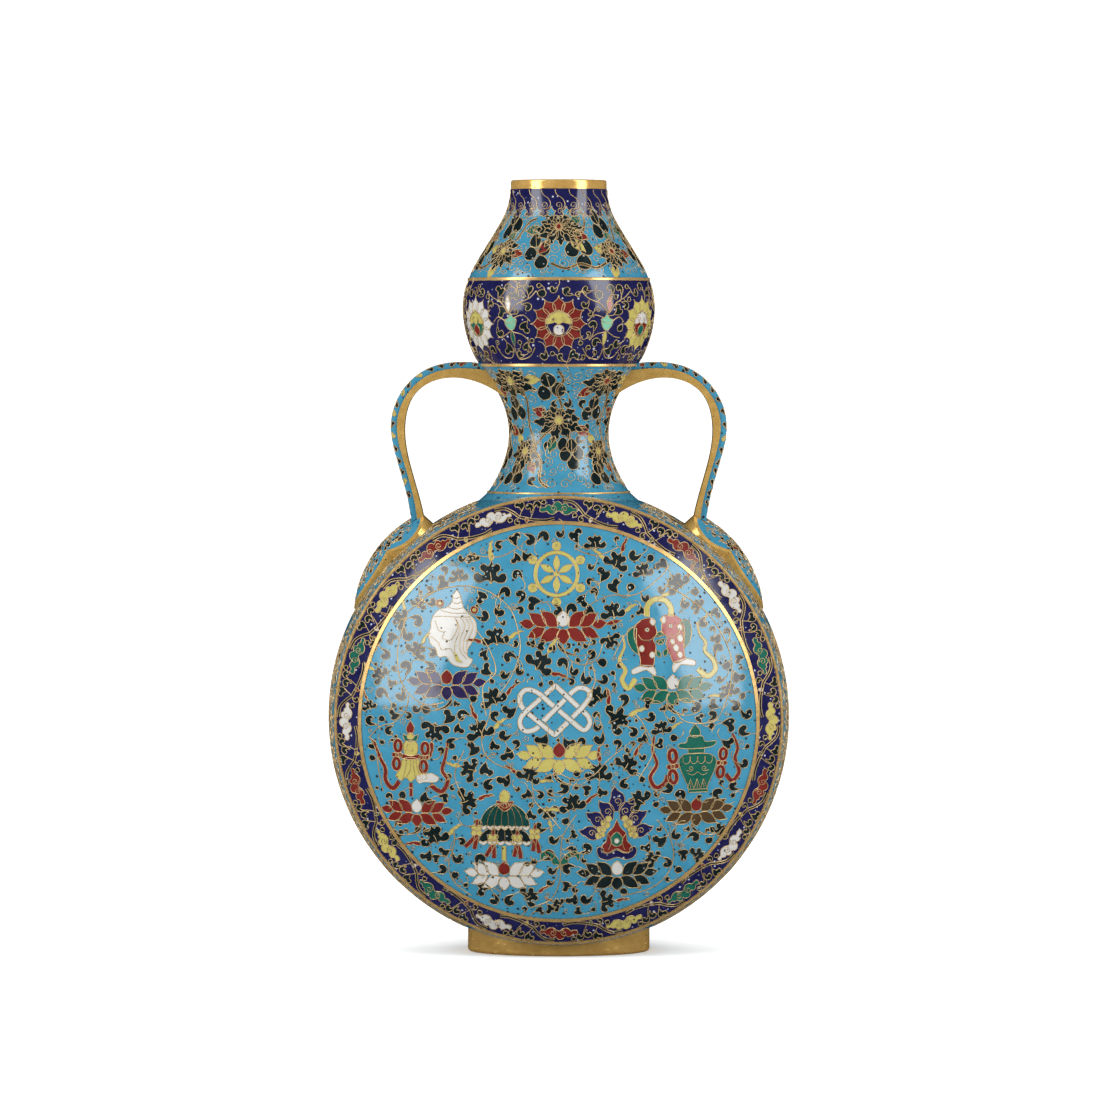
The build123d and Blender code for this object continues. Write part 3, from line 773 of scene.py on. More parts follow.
def canopy(pen):
    tier(pen, 8.3, .6, 5.6, -6.2, 6, "black")
    tier(pen, 7.9, .30, 7.9, -1.2, 7, "darkgreen")
    pen.cell("yellow", [(-.2, 11.0), (-.2, 11.0), (1.3, 9.9), (1.6, 8.4), (.8, 7.0), (-1.0, 7.0),
                        (-1.7, 8.4), (-1.3, 9.9)], 1)
    pen.cell("red", [(-2.7, 7.2), (-1.1, 7.0), (0, 6.5), (1.2, 7.0), (2.7, 7.2), (1.9, 5.2), (0, 4.0),
                     (-1.9, 5.2)], 1)
    pen.line([(-1.6, 5.9), (0, 5.0), (1.6, 5.9)], width=THIN, level=2)
    for x, y, splay in ((-9.0, -2.4, -2.6), (-3.8, -5.3, -1.2), (3.8, -5.3, .2), (9.4, -3.4, .6)):
        tassel = pen.at(x, y)
        tassel.band("red", [(.3, 3.6), (0, 1.2)], .9, level=1)
        tassel.band("red", [(0, -1.6), (splay * .5 - .5, -3.6), (splay - 1.1, -5.6)], 1.35)
        tassel.band("red", [(0, -1.6), (splay * .4 + .8, -3.6), (splay * .7 + 1.1, -6.2)], 1.35)
        for k in range(4):
            tassel.at(0, 0, 90 * k + 45).disc("yellow", .88, 0, 1.2, 1)
        tassel.disc("yellow", .4, 0, 0, 2)
    pen.band("yellow", [(-.3, -7.4), (-.3, -12.2)], 1.3)
    pen.take((0, 4, 7), (0, -4, 8), (-9, -6, 3.4), (9, -7, 3.4), (-4, -9, 3), (4, -9, 3))


def jewel(pen):
    """A flaming jewel on a scrolled base."""
    tongue = [(-.8, 0), (-.8, 0), (-1.9, 1.5), (-2.3, 3.2), (-1.8, 4.9), (-1.7, 6.3), (-.7, 8.2),
              (-.7, 8.2), (.3, 6.8), (1.8, 5.8), (2.5, 4.3), (2.4, 2.7), (1.5, 1.4), (.8, 0),
              (.8, 0)]
    for x, y, turn, size in ((0, 8.0, 0, 1.0), (-1.7, 5.2, 27, .92), (1.7, 5.2, -24, .95),
                             (-4.0, 3.2, 47, .9), (4.0, 3.4, -45, .9),
                             (-5.4, -.2, 68, .86), (5.4, .2, -62, .84)):
        lick = pen.at(x, y, turn, size, 1 if x <= 0 else -1)
        lick.cell("navy", tongue)
        lick.field.wire(lick.map(curl(1.35, 1.25, 0) + (.2, 1.9)), False, WIRE, 1)
    for hand in (1, -1):
        for x, y in ((2.6, 5.6), (4.1, 4.2), (5.3, 2.2), (5.8, .1), (3.1, 3.6), (4.3, 2.3), (4.7, .6)):
            pen.disc("yellow", 1.0, x * hand, y, 1)
    pen.cell("red", [(0, 5.4), (0, 5.4), (1.3, 2.6), (2.9, .9), (3.3, -1.6), (4.5, -3.0), (4.9, -4.8),
                     (2.6, -5.4), (0, -4.2), (-2.6, -5.4), (-4.9, -4.8), (-4.5, -3.0), (-3.3, -1.6),
                     (-2.9, .9), (-1.3, 2.6)], 1)
    pen.line([(-3.0, .8), (-1.7, -1.6), (-2.6, -4.6)], level=2)
    pen.line([(3.0, .8), (1.7, -1.6), (2.6, -4.6)], level=2)
    pen.cell("green", [(0, 1.3), (1.0, .6), (1.9, -.9), (1.5, -2.6), (0, -3.4), (-1.5, -2.6),
                       (-1.9, -.9), (-1.0, .6)], 2)
    pen.disc("white", .8, 0, -1.6, 3)
    pen.cell("navy", [(-6.3, -4.3), (-5.2, -3.5), (-4.2, -4.2), (-4.0, -5.5), (-2, -5.5), (0, -4.6),
                      (2, -5.5), (4, -5.5), (4.2, -4.2), (5.4, -3.5), (6.4, -4.5), (5.7, -6.8),
                      (3, -7.8), (0, -7.0), (-3, -7.9),
                      (-5.7, -6.9)], 2)
    pen.take((0, 2, 8.5), (0, -4, 7.5), (-8, 3, 4.5), (8, 3, 4.5), (0, 12, 3.4), (-4, 9, 3), (4, 9, 3))


# ---------------------------------------------------------------- flowers for the dark bands

def bloom(pen, colour, reach=8.4):
    """A twelve-petalled lotus seen from above, with a ruyi heart."""
    w = reach * .2
    for k in range(12):
        side = [(w * .62, .42), (w * .62, .42), (w * .98, .56), (w * 1.14, .7), (w * .95, .82),
                (w * .45, .9), (w * .14, .98)]
        ogee = [(x, y * reach) for x, y in side]
        tip = [(0, reach * 1.08)] * 2
        pen.at(0, 0, 30 * k).cell(colour, [*ogee, *tip, *[(-x, y) for x, y in ogee[::-1]]])
    heart, ground, ball = ("white", "red", "green") if colour == "yellow" else ("yellow", "navy", "white")
    if colour == "white":
        ground, ball = "green", "red"
    pen.disc(ground, reach * .5, level=1, squash=.95)
    side = [(1.1, 3.7), (2.6, 3.1), (3.2, 1.9), (4.2, 1.2), (3.8, .0), (2.4, .2), (1.2, .5)]
    pen.cell(heart, [(0, 4.5), (0, 4.5), *side, (0, -.1), *[(-x, y) for x, y in side[::-1]]], 2)
    for hand in (1, -1):
        pen.field.wire(pen.map(curl(.8, 1.2, 0, hand) + (hand * 1.4, .7)), False, THIN, 3)
    pen.disc(ball, 1.65, 0, -1.9, 3)
    pen.take((0, 0, reach + .4))


def pod(pen, tip, tail):
    """A pale bud with a pointed tip above and a long tail below."""
    pen.cell("palegreen", [(0, 2.9), (0, 2.9), (1.0, 1.2), (2.3, .7), (2.0, -.9), (.8, -2.4),
                           (-.7, -2.4), (-1.7, -.8), (-1.9, 1.0), (-.9, 1.4)])
    pen.line([(-1.6, .4), (-.2, -.3), (2.0, .0)], width=THIN, level=1)
    leaf(pen.at(.5, 3.0, -8), tip, 5.6, .85)
    leaf(pen.at(-.1, -2.4, 178), tail, 5.4, .7)
    pen.take((0, 0, 2.6), (.6, 5.5, 1.6), (0, -5, 1.6))


# ---------------------------------------------------------------- vines and filling

def vine(pen, points, rng, leaves=True, gap=4.4, size=(1.25, 1.85)):
    """A single wire with hooked leaves on short stalks along both sides."""
    line = smooth(pen.map(points))
    field = pen.field
    field.wire(line, False, VINE)
    for x, y in line[::3]:
        field.taken.append((x, y, .3))
    if not leaves:
        return
    length = np.concatenate([[0], np.cumsum(np.hypot(*np.diff(line, axis=0).T))])
    side = 1
    at = gap * .5
    while at < length[-1]:
        k = int(np.searchsorted(length, at))
        k = min(max(k, 1), len(line) - 1)
        heading = math.degrees(math.atan2(*(line[k] - line[k - 1])[::-1]))
        sprout(field, line[k], heading - 90 + side * rng.uniform(38, 62), side, rng, rng.uniform(*size))
        side = -side
        at += gap * rng.uniform(.75, 1.15)


def sprout(field, spot, turn, side, rng, size):
    """One hooked leaf on its stalk, if there is room for it."""
    pen = Pen(field, spot[0], spot[1], turn, 1, side)
    reach = rng.uniform(.7, 1.5)
    tip = pen.map([(0, reach + 1.2 * size)])[0]
    if not free(field, tip[0], tip[1], .92 * size) or not field.within(tip[0], tip[1], 1.2 * size):
        return False
    pen.line([(0, 0), (.25, reach * .5), (.1, reach + .1)])
    shape = rng.choice((COMMA, COMMA, MITTEN, BEAN))
    comma(pen.at(.05, reach, rng.uniform(-25, 25), size, rng.choice((1, -1))), shape)
    return True


def scatter(field, rng, box, tries, sizes, kinds):
    """Fills what room is left with small leaves and curls, largest first."""
    x0, y0, x1, y1 = box
    for size in sizes:
        for _ in range(tries):
            x, y = rng.uniform(x0, x1), rng.uniform(y0, y1)
            if not (field.within(x, y, 1.1 * size) and free(field, x, y, .84 * size)):
                continue
            turn = rng.uniform(0, 360)
            kind = rng.choice(kinds)
            pen = Pen(field, x, y, turn, size, rng.choice((1, -1))).at(0, -1.1)
            if kind == "curl":
                curls(Pen(field, x, y, turn).at(0, -.9 * size), .95 * size)
                continue
            comma(pen, {"comma": COMMA, "spray": MITTEN, "bean": BEAN}[kind])
            pen.line([(0, 0), (-.35, -.55), (-1.0, -.9), (-1.7, -.8)])


# ---------------------------------------------------------------- the two faces

EMBLEMS = [  # (draw, x, y, size) and its lotus (colour, bud, x, y, size, right tail)
    (wheel, -.7, 47.7, .9, "red", "white", 1.4, 31.0, 1.1, True),
    (conch, -33.7, 29.3, 1.0, "purple", "red", -35.5, 12.6, 1.0, False),
    (fishes, 32.6, 22.0, 1.0, "green", "white", 36.1, 11.0, 1.0, False),
    (knot, -1.2, 4.9, 1.0, "yellow", "red", .1, -10.3, 1.06, False),
    (banner, -47.1, -13.1, 1.0, "red", "white", -45.2, -28.6, .92, False),
    (urn, 44.1, -12.1, 1.0, "brown", "red", 43.8, -28.2, .95, False),
    (canopy, -17.1, -31.3, 1.0, "white", "red", -17.4, -48.6, 1.0, False),
    (jewel, 18.4, -35.4, 1.0, "black", "white", 18.6, -48.6, 1.02, False),
]
VINES = [
    [(-48, 35.5), (-39.3, 41.9), (-30.2, 43.8), (-22.4, 42.2), (-15.8, 37.3), (-13, 30.5),
     (-12.3, 23.5), (-15, 15.5), (-19.6, 9)],
    [(-48.5, 33.5), (-51.2, 24.5), (-50.8, 15.4), (-47.1, 9), (-41.6, 6.2), (-36.5, 7.2)],
    [(-47.8, 9), (-48.6, 4.5), (-52.3, .4), (-57, -1.2), (-60.6, -5)],
    [(9.5, 38), (16.3, 40.9), (24.7, 41.3), (32.2, 46.5), (35.5, 50.5)],
    [(33.6, 44.1), (41.1, 39.9), (49.1, 32.9), (54.7, 21.7), (54.7, 12), (52, 4)],
    [(1, 26), (3.2, 21.2), (7.5, 19.4), (12, 21), (14, 26)],
    [(10.5, 19.6), (11.5, 14), (9, 9)],
    [(36.9, 4.6), (39.6, 1.3), (45, .2), (50, 1.2), (52.5, 5)],
    [(31.6, -30.6), (35.2, -36), (36.6, -42), (35, -48), (29.5, -53), (20, -55.5)],
    [(.2, -15), (5, -17), (11, -15.6), (15.5, -11), (20.5, -7)],
    [(5.6, -28.4), (1.4, -35), (.6, -42), (.3, -50), (-2.6, -56.4), (-9, -59.3)],
    [(-33.4, -33.6), (-33.3, -38.5), (-35.1, -45.3), (-33.5, -51), (-28, -55.6)],
    [(-10.4, -14.6), (-17.9, -13), (-23.2, -9.3), (-24.4, -3), (-22.2, 2.2), (-21.5, 6)],
    [(-8.5, -17), (-7.5, -24), (-3.5, -28), (.5, -33)],
    [(-26, 30), (-22, 24), (-20, 17), (-24, 12), (-23, 3)],
    [(-56, -22), (-57.5, -15), (-58, -9)],
    [(26, 33), (21, 28.5), (17.5, 22)],
    [(24, 4), (27, 0), (30, -8), (26, -16)],
    [(-30, -8), (-33, -16), (-30, -24)],
    [(5, 55.5), (12, 53.5), (19, 56)],
    [(-12, 56.5), (-19, 53), (-28, 53.5)],
]
CLUSTER_SCALE = 1.55
VINE_GAP = 4.6  # between the leaves along a stem
VINE_LEAVES = (1.6, 2.2)  # their smallest and largest size
FACE_FILL = [  # how often each pass is tried, its leaf sizes and its kinds, largest first
    (3200, (2.25, 2.0), ("comma", "spray", "comma")),
    (4200, (1.7, 1.45), ("comma", "spray", "comma", "bean")),
    (4000, (1.15,), ("curl", "comma", "comma", "bean")),
    (3000, (.8,), ("curl", "curl", "bean")),
]
CLUSTERS = [  # x, y, turn, size, and the colours of the tips: top, right, left
    (-21.6, 44.4, 0, 1.25, "yellow", None, None), (-31.5, 45, 12, .75, None, None, None),
        (-27, 51.2, 20, .55, None, None, None),
    (-19.6, 25.2, 8, 1.05, None, "yellow", "red"), (-46.4, 21.5, -35, .85, "yellow", None, None),
    (-48.6, 32.6, 75, .8, "red", "yellow", None),
    (-55.6, 14.2, 55, .75, "yellow", None, None), (-60.0, 4.0, 20, .6, "red", None, None),
    (-7.4, 17.6, -35, 1.15, "yellow", "red", None),
    (-19.6, 6.4, 25, 1.05, None, "red", None), (-39.0, .8, 170, 1.1, "red", None, None),
    (17.4, 49.2, -25, 1.0, "red", None, "yellow"),
    (27.2, 46.6, 10, .8, None, None, None), (11.8, 55.2, 5, .85, None, None, None),
    (39.4, 42.8, 40, .95, None, "red", "yellow"),
    (17.6, 33.6, 10, .95, None, "yellow", None), (15.6, 28.6, 200, .8, None, None, None),
    (13.6, 7.6, 35, .95, None, None, None),
    (54.8, 8.4, 15, .8, None, None, "yellow"), (15.6, 1.0, -70, 1.2, "yellow", None, "red"),
    (33.0, -3.0, 10, .8, None, "yellow", None),
    (20.4, -14.4, -35, 1.0, "red", None, None), (12.8, -17.6, 0, 1.05, "red", None, None),
    (5.0, -27.4, 15, 1.05, None, "red", "yellow"),
    (27.4, -25.4, 50, 1.0, None, None, None), (13.0, -57.4, -85, .9, "red", None, None),
    (1.0, -58.8, 60, .6, "red", None, None),
    (-23.9, -4.2, 20, 1.1, "red", "yellow", None), (-26.0, -14.6, 75, .95, "yellow", None, None),
    (-10.2, -17.9, -20, .95, None, "yellow", "red"),
    (-31.6, -25.0, -75, 1.05, "red", None, None), (-3.8, -25.6, 190, .8, "yellow", None, None),
    (-38.6, -38.8, 20, 1.15, None, "yellow", "red"),
    (-11.2, -56.6, -60, .9, "red", None, None), (-50.5, -37.5, 60, .7, None, None, None),
    (45.5, 36.6, 60, .6, None, None, None),
    (50.6, -36.6, -30, .8, None, None, None), (31.5, -44.0, 60, .75, None, None, None),
    (42.8, -43.6, -60, .75, None, None, None),
    (-45, 36.6, -20, .6, None, None, None), (-57.2, 24.4, 60, .6, None, None, None),
]


def medallion(name, side, flip, seed):
    field = Field(name, face_place(side), FACE_GRAIN)
    field.within = lambda x, y, r: math.hypot(x, y) < DISC_R - .5 - r
    rng = random.Random(seed)
    pen = Pen(field, 0, 0, 0, 1, flip)
    for draw, x, y, size, colour, bud, lx, ly, lsize, tail in EMBLEMS:
        draw(pen.at(x, y, 0, size))
        pad = pen.at(lx, ly, 0, lsize)
        lotus(pad, colour, bud, tail)
        if ly > -30:
            foot_stem(pad, 1 if lx < 0 else -1)
    for x, y, turn, size, tip, right, left in CLUSTERS:
        cluster(pen.at(x, y, turn, size * CLUSTER_SCALE, flip), tip, right, left)
    for points in VINES:
        vine(pen, points, rng, gap=VINE_GAP, size=VINE_LEAVES)
    curlings = pen.at(.4, -44.5)
    for hand in (1, -1):
        hook = curlings.at(0, 0, -25 * hand, 1.5, hand)
        hook.cell("green", [(0, -1.6), (0, -1.6), (.5, 0), (1.4, .7), (1.2, 1.9), (2.2, 2.9),
                            (3.2, 2.3), (2.9, 3.6), (1.5, 3.9), (.4, 2.7), (-.1, 1.0)])
    span = (-DISC_R, -DISC_R, DISC_R, DISC_R)
    for tries, sizes, kinds in FACE_FILL:
        scatter(field, rng, span, tries, sizes, kinds)
    return field


CLOUD_COLOURS = ("green", "yellow", "red", "white")
CLOUDS = 20


def border(name, side, flip, radius):
    field = Field(name, ring_place(side, radius), FACE_GRAIN)
    pitch = 2 * math.pi * radius / CLOUDS
    for k in range(CLOUDS):
        unit = Pen(field, flip * k * pitch, 0, 0, 1, flip)
        cloud(unit.at(0, .35, -4, .98), CLOUD_COLOURS[k % 4])
        start = -pitch / 2
        unit.band("black", [(start, -1.9), (start + 2.6, -2.7), (start + 6.2, -3.1),
                            (start + 9.2, -2.6)], .7)
        unit.band("black", [(start, -1.9), (start - 2.2, -1.0), (start - 4.2, 1.0), (start - 6.4, 2.5),
                            (start - 9.4, 2.9)], .7)
        unit.line([(start + 1.2, -2.2), (start + 2.6, .2), (start + 2.8, 1.4)])
        unit.line([(start - 2.2, -1.0), (start - 1.2, .6), (start - .6, 1.6)])
        bud = [(0, 0), (0, 0), (.75, -.8), (.25, -1.5), (0, -1.9), (0, -1.9), (-.5, -1.4), (-.6, -.7)]
        unit.at(start, -1.5, 0, .95).cell(CLOUD_COLOURS[(k + 2) % 4], bud)
        for x, y, turn, size, shape, mirror in (
                (start + 2.6, .9, -58, 1.45, COMMA, -1), (start + 1.6, -.4, 12, 1.5, COMMA, 1),
                (start - 1.1, .7, 20, 1.45, MITTEN, 1),
                (start - 2.6, -1.2, 160, 1.15, COMMA, 1), (start - 4.6, -1.7, 80, 1.0, BEAN, 1),
                (start + 5.2, 2.4, -70, 1.0, BEAN, 1)):
            comma(unit.at(x, y, turn, size, mirror), shape)
    return field


# ---------------------------------------------------------------- the gourd

def gourd_field(name, place, grain, low, high, radius):
    field = Field(name, place, grain)
    half = math.pi * radius
    field.within = lambda x, y, r: low + r < y < high - r and -half - .5 < x < half + .5
    return field


def neck(field, radius, low, high):
    rng = random.Random(NECK_SEED)
    quarter = RIGHT_ANGLE * radius
    mid = low + (high - low) * .56
    for k in range(4):
        unit = Pen(field, (k - 1.5) * quarter - quarter / 2, 0)
        burst(unit.at(0, mid + .6, 0, 1.3), "yellow", {3: "red", 8: "red", 5: "green"}, (1.25, .8))
        grapes(unit.at(4.6, mid - 10.4, 0, 1.0), BUNCH[:5])
        grapes(unit.at(-2.4, mid + 11.0, 10, 1.05), TRIO)
        unit.band("brown", [(0, high - .8), (1.2, high - 4), (-.6, high - 7), (.9, mid + 5),
                            (0, mid + 1.2)], .6)
        unit.band("brown", [(-1, mid - 1), (-6.2, mid - 5), (-8.8, mid - 8.6), (-6.0, mid - 12.5),
                            (-5.6, low + 3.5), (-3.0, low + 1)], .6)
        side = Pen(field, (k - 1.5) * quarter, 0)
        burst(side.at(0, high - 4.0, 0, 1.15), "yellow" if k % 2 else "red", {2: "yellow", 6: "red"},
              (1.2, .75))
        grapes(side.at(-2.0, high - 13.4, 0, 1.0), TRIO)
        burst(side.at(1.4, low + 12.5, 10, 1.05), "yellow", {4: "red", 9: "yellow"}, (1.0, .9))
        grapes(side.at(-.8, low + 4.8, 0, .9), TRIO)
        side.band("brown", [(0, high - 5), (3.4, high - 9), (3.0, mid - 1), (5.2, mid - 7),
                            (3.6, low + 12)], .6)
    half = math.pi * radius
    scatter(field, rng, (-half, low, half, high), 2600, (1.7, 1.4), ("curl", "curl", "curl", "comma"))
    scatter(field, rng, (-half, low, half, high), 4200, (1.05,), ("curl",))


def upper_bulb(field, radius, low, high):
    rng = random.Random(UPPER_BULB_SEED)
    quarter = RIGHT_ANGLE * radius
    top, bottom = high - 6.4, low + 8.2
    for k in range(4):
        unit = Pen(field, (k - 2) * quarter, 0)
        burst(unit.at(0, top, 0, 1.15), "red", {2: "green", 9: "green", 5: "yellow", 7: "red",
                                                4: "red"}, (1.5, .85), 13)
        grapes(unit.at(-7.0, bottom - .4, 8, 1.0), QUAD)
        grapes(unit.at(6.4, bottom + .6, -6, 1.14), QUAD)
        unit.band("brown", [(5.4, top - 1), (8.4, top - 2), (10.6, top + 1), (10.8, top + 4),
                            (9.4, high - 1.4)], .7)
        side = Pen(field, (k - 1.5) * quarter, 0)
        burst(side.at(-.6, bottom - .4, 30, 1.05), "yellow" if k % 2 else "red",
              {1: "green", 4: "red", 7: "yellow", 10: "yellow"}, (1.1, 1.0), 12, 4.4)
        grapes(side.at(-1.4, top + .6, 20, 1.1), TRIO)
        side.band("brown", [(-4, bottom - 4), (-8, bottom - 5.8), (-12.5, bottom - 4.6),
                            (-17, bottom - 6), (-21, bottom - 4.4)], .7)
        side.band("brown", [(3.2, bottom + 3), (6, top + 1), (9.4, top + 2.6)], .7)
    half = math.pi * radius
    scatter(field, rng, (-half, low, half, high), 2400, (1.7, 1.35), ("curl",))
    scatter(field, rng, (-half, low, half, high), 3600, (1.0,), ("curl",))


def lower_bulb(field, radius, low, high):
    rng = random.Random(LOWER_BULB_SEED)
    sixth = 2 * math.pi * radius / 6
    mid = (low + high) / 2 - .6
    colours = ("red", "yellow", "white") * 2
    tips = ("white", "pink_and_highlit_red", "white", "pink_and_highlit_red", "white", "pink_and_highlit_red")
    tails = ("green", "yellow") * 3
    for k in range(6):
        unit = Pen(field, (k - 2.5) * sixth - sixth / 2, mid)
        bloom(unit, colours[k])
        gap = Pen(field, (k - 2.5) * sixth, mid, 0, 1, 1 if k % 2 else -1)
        pod(gap.at(0, .6), tips[k], tails[k])
        for points in ([(-7.6, -7.6), (-5.4, -10.4), (-1.2, -11.2), (-.2, -8.0)],
                       [(7.4, -7.2), (5, -10.6), (1.6, -10.6), (-.1, -7.4)],
                       [(.4, 3.4), (-2.4, 6.4), (-6.4, 8.2), (-8.6, 10.6)],
                           [(.8, 3.4), (3.2, 6.6), (7.2, 8.6), (9.6, 10.4)],
                       [(-1.2, 2), (-4.4, 2.8), (-6.6, .8)], [(1.8, .8), (4.6, 2.2), (6.6, .6)],
                       [(-.4, -2.6), (-3.6, -3.4), (-5.6, -5.2)], [(.4, -2.4), (3.4, -4), (5.8, -4.4)]):
            vine(gap, points, rng, True, 3.5, (1.45, 1.85))
    half = math.pi * radius
    scatter(field, rng, (-half, low, half, high), 2600, (1.75, 1.45), ("comma", "spray", "comma"))
    scatter(field, rng, (-half, low, half, high), 2600, (1.0,), ("bean", "comma"))


def lappets(field, top, bottom, radius):
    """Cloud-ended lappets that hang from the dark collar over the turquoise."""
    count = 22
    pitch = 2 * math.pi * radius / count
    drop = top - bottom
    for k in range(count):
        unit = Pen(field, (k - count / 2) * pitch, bottom)
        unit.cell("navy", [(-2.3, .6), (-2.3, .6), (-2.2, -.9), (-1.5, -1.7), (-.9, -1.9), (-1.5, -2.6),
                           (-1.0, -3.4), (-.3, -3.3), (0, -3.9), (.4, -3.3), (1.1, -3.4), (1.5, -2.6),
                           (.9, -1.9), (1.5, -1.7), (2.2, -.9), (2.3, .6),
                           (2.3, .6)], edge=False)
        unit.line([(-2.3, -.4), (-2.1, -1.1), (-1.5, -1.7), (-.9, -1.9), (-1.5, -2.6), (-1.0, -3.4),
                   (-.3, -3.3), (0, -3.9), (.4, -3.3), (1.1, -3.4), (1.5, -2.6), (.9, -1.9),
                   (1.5, -1.7), (2.1, -1.1), (2.3, -.4)])
        spiral = curl(1.25, 1.3, 0, 1) + (0, -1.2)
        unit.field.wire(unit.map(spiral), False, THIN, 1)
        unit.line([(-1.3, drop - .3), (-.8, drop - 1.8), (1.2, drop - 3.2), (2.1, drop - 5.0),
                   (1.4, -1.0), (0, -1.2)], level=1)


# ---------------------------------------------------------------- side wall, straps and pads

def side_wall(field, radius, half_width, start, end):
    """A grape scroll round the side wall from the neck to the foot."""
    rng = random.Random(SIDE_WALL_SEED)
    field.within = lambda x, y, r: start + r < abs(x) < end - r and abs(y) < half_width - r
    pads = (math.radians(PAD_ANGLE) * radius)
    for hand in (1, -1):
        for spot in range(-16, 21, 6):
            for across in (-6.5, 0, 6.5):
                field.taken.append((hand * (pads + spot), across, 7.5))
        at = start + 12
        flip = 1
        while at < end - 8:
            unit = Pen(field, hand * at, flip * 11.5, 90 if flip > 0 else -90, 1, hand)
            burst(unit, "yellow" if flip > 0 else "red", {1: "red", 5: "yellow", 8: "green"}, (1.2, .9))
            grapes(Pen(field, hand * (at + 2), flip * -11.5, 40, 1), QUAD)
            Pen(field).line([(hand * (at - 10), 0), (hand * (at - 4), flip * 4.5),
                             (hand * (at + 2), flip * 5.5),
                             (hand * (at + 8), 0), (hand * (at + 11), flip * -4)])
            at += 19
            flip = -flip
        for low, high in ((start, pads - 20), (pads + 24, end)):
            for across in (-19, 19):
                steps = np.arange(hand * low, hand * high, hand * 6.0)
                line = [(s, across + (2.2 if i % 2 else -2.2)) for i, s in enumerate(steps)]
                if len(line) > 2:
                    vine(Pen(field), line, rng, True, 4.4)
        for size, kinds, tries in ((1.4, ("comma", "spray"), 1500),
                                   (1.1, ("comma", "curl", "spray"), 2200), (.8, ("curl", "bean"), 2600)):
            box = (min(hand * start, hand * end), -half_width, max(hand * start, hand * end), half_width)
            scatter(field, rng, box, tries, (size,), kinds)


def strap(field, length, half_width, seed):
    """A running scroll with paired leaves down the strap."""
    rng = random.Random(seed)
    field.within = lambda x, y, r: abs(x) < half_width - r * .9 and 2 < y < length - 2
    pen = Pen(field)
    spots = np.arange(3, length - 2, 5.2)
    vine(pen, [((1.7 if i % 2 else -1.7), s) for i, s in enumerate(spots)], rng, False)
    for i, s in enumerate(spots[:-1]):
        side = -1 if i % 2 else 1
        comma(pen.at(side * 1.4, s + .4, side * -55, 1.25, side), MITTEN if i % 3 else COMMA)
        if i % 4 == 1:
            flame(pen.at(-side * 1.2, s + 2.0, side * 60, .75), "red" if i % 8 == 1 else "yellow")
        comma(pen.at(-side * 2.2, s + 2.4, side * 120, 1.0, -side), BEAN)
    scatter(field, rng, (-half_width, 2, half_width, length), 900, (1.0, .75), ("comma", "bean", "curl"))


def strap_edge(field, length, seed):
    """Half leaves that turn over the edge of the strap's enamel."""
    rng = random.Random(seed)
    at = 3.0
    while at < length - 4:
        colour = rng.choice(("black", "black", "black", "red", "black", "yellow"))
        side = rng.choice((1, -1))
        points = [(-1.1, .12), (-.5, .1), (.4, .1), (1.0, .3), (1.1, .8), (.5, 1.25), (-.1, 1.1),
                  (-.2, .75), (-.7, .6)]
        Pen(field, at, 0, 0, 1).cell(colour, [(x * side, y) for x, y in points])
        at += rng.uniform(3.0, 4.6)


def pad(field, seed):
    """A spray of leaves and grapes on the pad."""
    rng = random.Random(seed)
    field.within = lambda x, y, r: pad_room(x, y) > r
    pen = Pen(field, 0, 2.0)
    burst(pen.at(0, 0, 0, .95), "white", {2: "red", 9: "red", 5: "yellow"}, (1.3, .9))
    grapes(pen.at(-.2, -8.4, 0, .8), TRIO)
    for side in (1, -1):
        cluster(pen.at(side * 7.4, 1.2, side * -40, .8, side), "red" if side > 0 else "yellow")
    scatter(field, rng, (-13, -16, 13, 16), 1500, (1.1, .85, .65), ("comma", "curl", "bean"))


def pad_room(x, y):
    """Roughly how far a spot on the pad is from its rim."""
    half = np.interp(-y, (-17, -12, -8, -3, 2, 8, 14, 17), (5.5, 10.5, 12.4, 9.8, 11.2, 9.0, 3.2, 0))
    return half - abs(x)


# ---------------------------------------------------------------- materials

def linear(colour):
    """Linear light from an sRGB colour given as 0 to 255."""
    return tuple((c / 255 / 12.92 if c < 11 else ((c / 255 + .055) / 1.055) ** 2.4) for c in colour)


def add_node(tree, kind, **sockets):
    node = tree.nodes.new(kind)
    for name, value in sockets.items():
        node.inputs[name.replace("_", " ")].default_value = value
    return node


def mix(tree, factor, a, b):
    """A colour mix of two colours or sockets."""
    node = tree.nodes.new("ShaderNodeMix")
    node.data_type = "RGBA"
    for index, value in ((0, factor), (6, a), (7, b)):
        if isinstance(value, bpy.types.NodeSocket):
            tree.links.new(value, node.inputs[index])
        else:
            node.inputs[index].default_value = (*value, 1) if isinstance(value, tuple) else value
    return node.outputs[2]


def remap(tree, value, low, high, new_low, new_high):
    node = tree.nodes.new("ShaderNodeMapRange")
    tree.links.new(value, node.inputs["Value"])
    for name, number in (("From Min", low), ("From Max", high), ("To Min", new_low), ("To Max", new_high)):
        node.inputs[name].default_value = number
    return node.outputs["Result"]


def math_node(tree, operation, a, b):
    node = tree.nodes.new("ShaderNodeMath")
    node.operation = operation
    for index, value in ((0, a), (1, b)):
        if isinstance(value, bpy.types.NodeSocket):
            tree.links.new(value, node.inputs[index])
        else:
            node.inputs[index].default_value = value
    return node.outputs[0]


def noise(tree, coords, scale, detail=2.0):
    node = add_node(tree, "ShaderNodeTexNoise", Scale=scale, Detail=detail)
    tree.links.new(coords, node.inputs["Vector"])
    return node.outputs["Fac"]


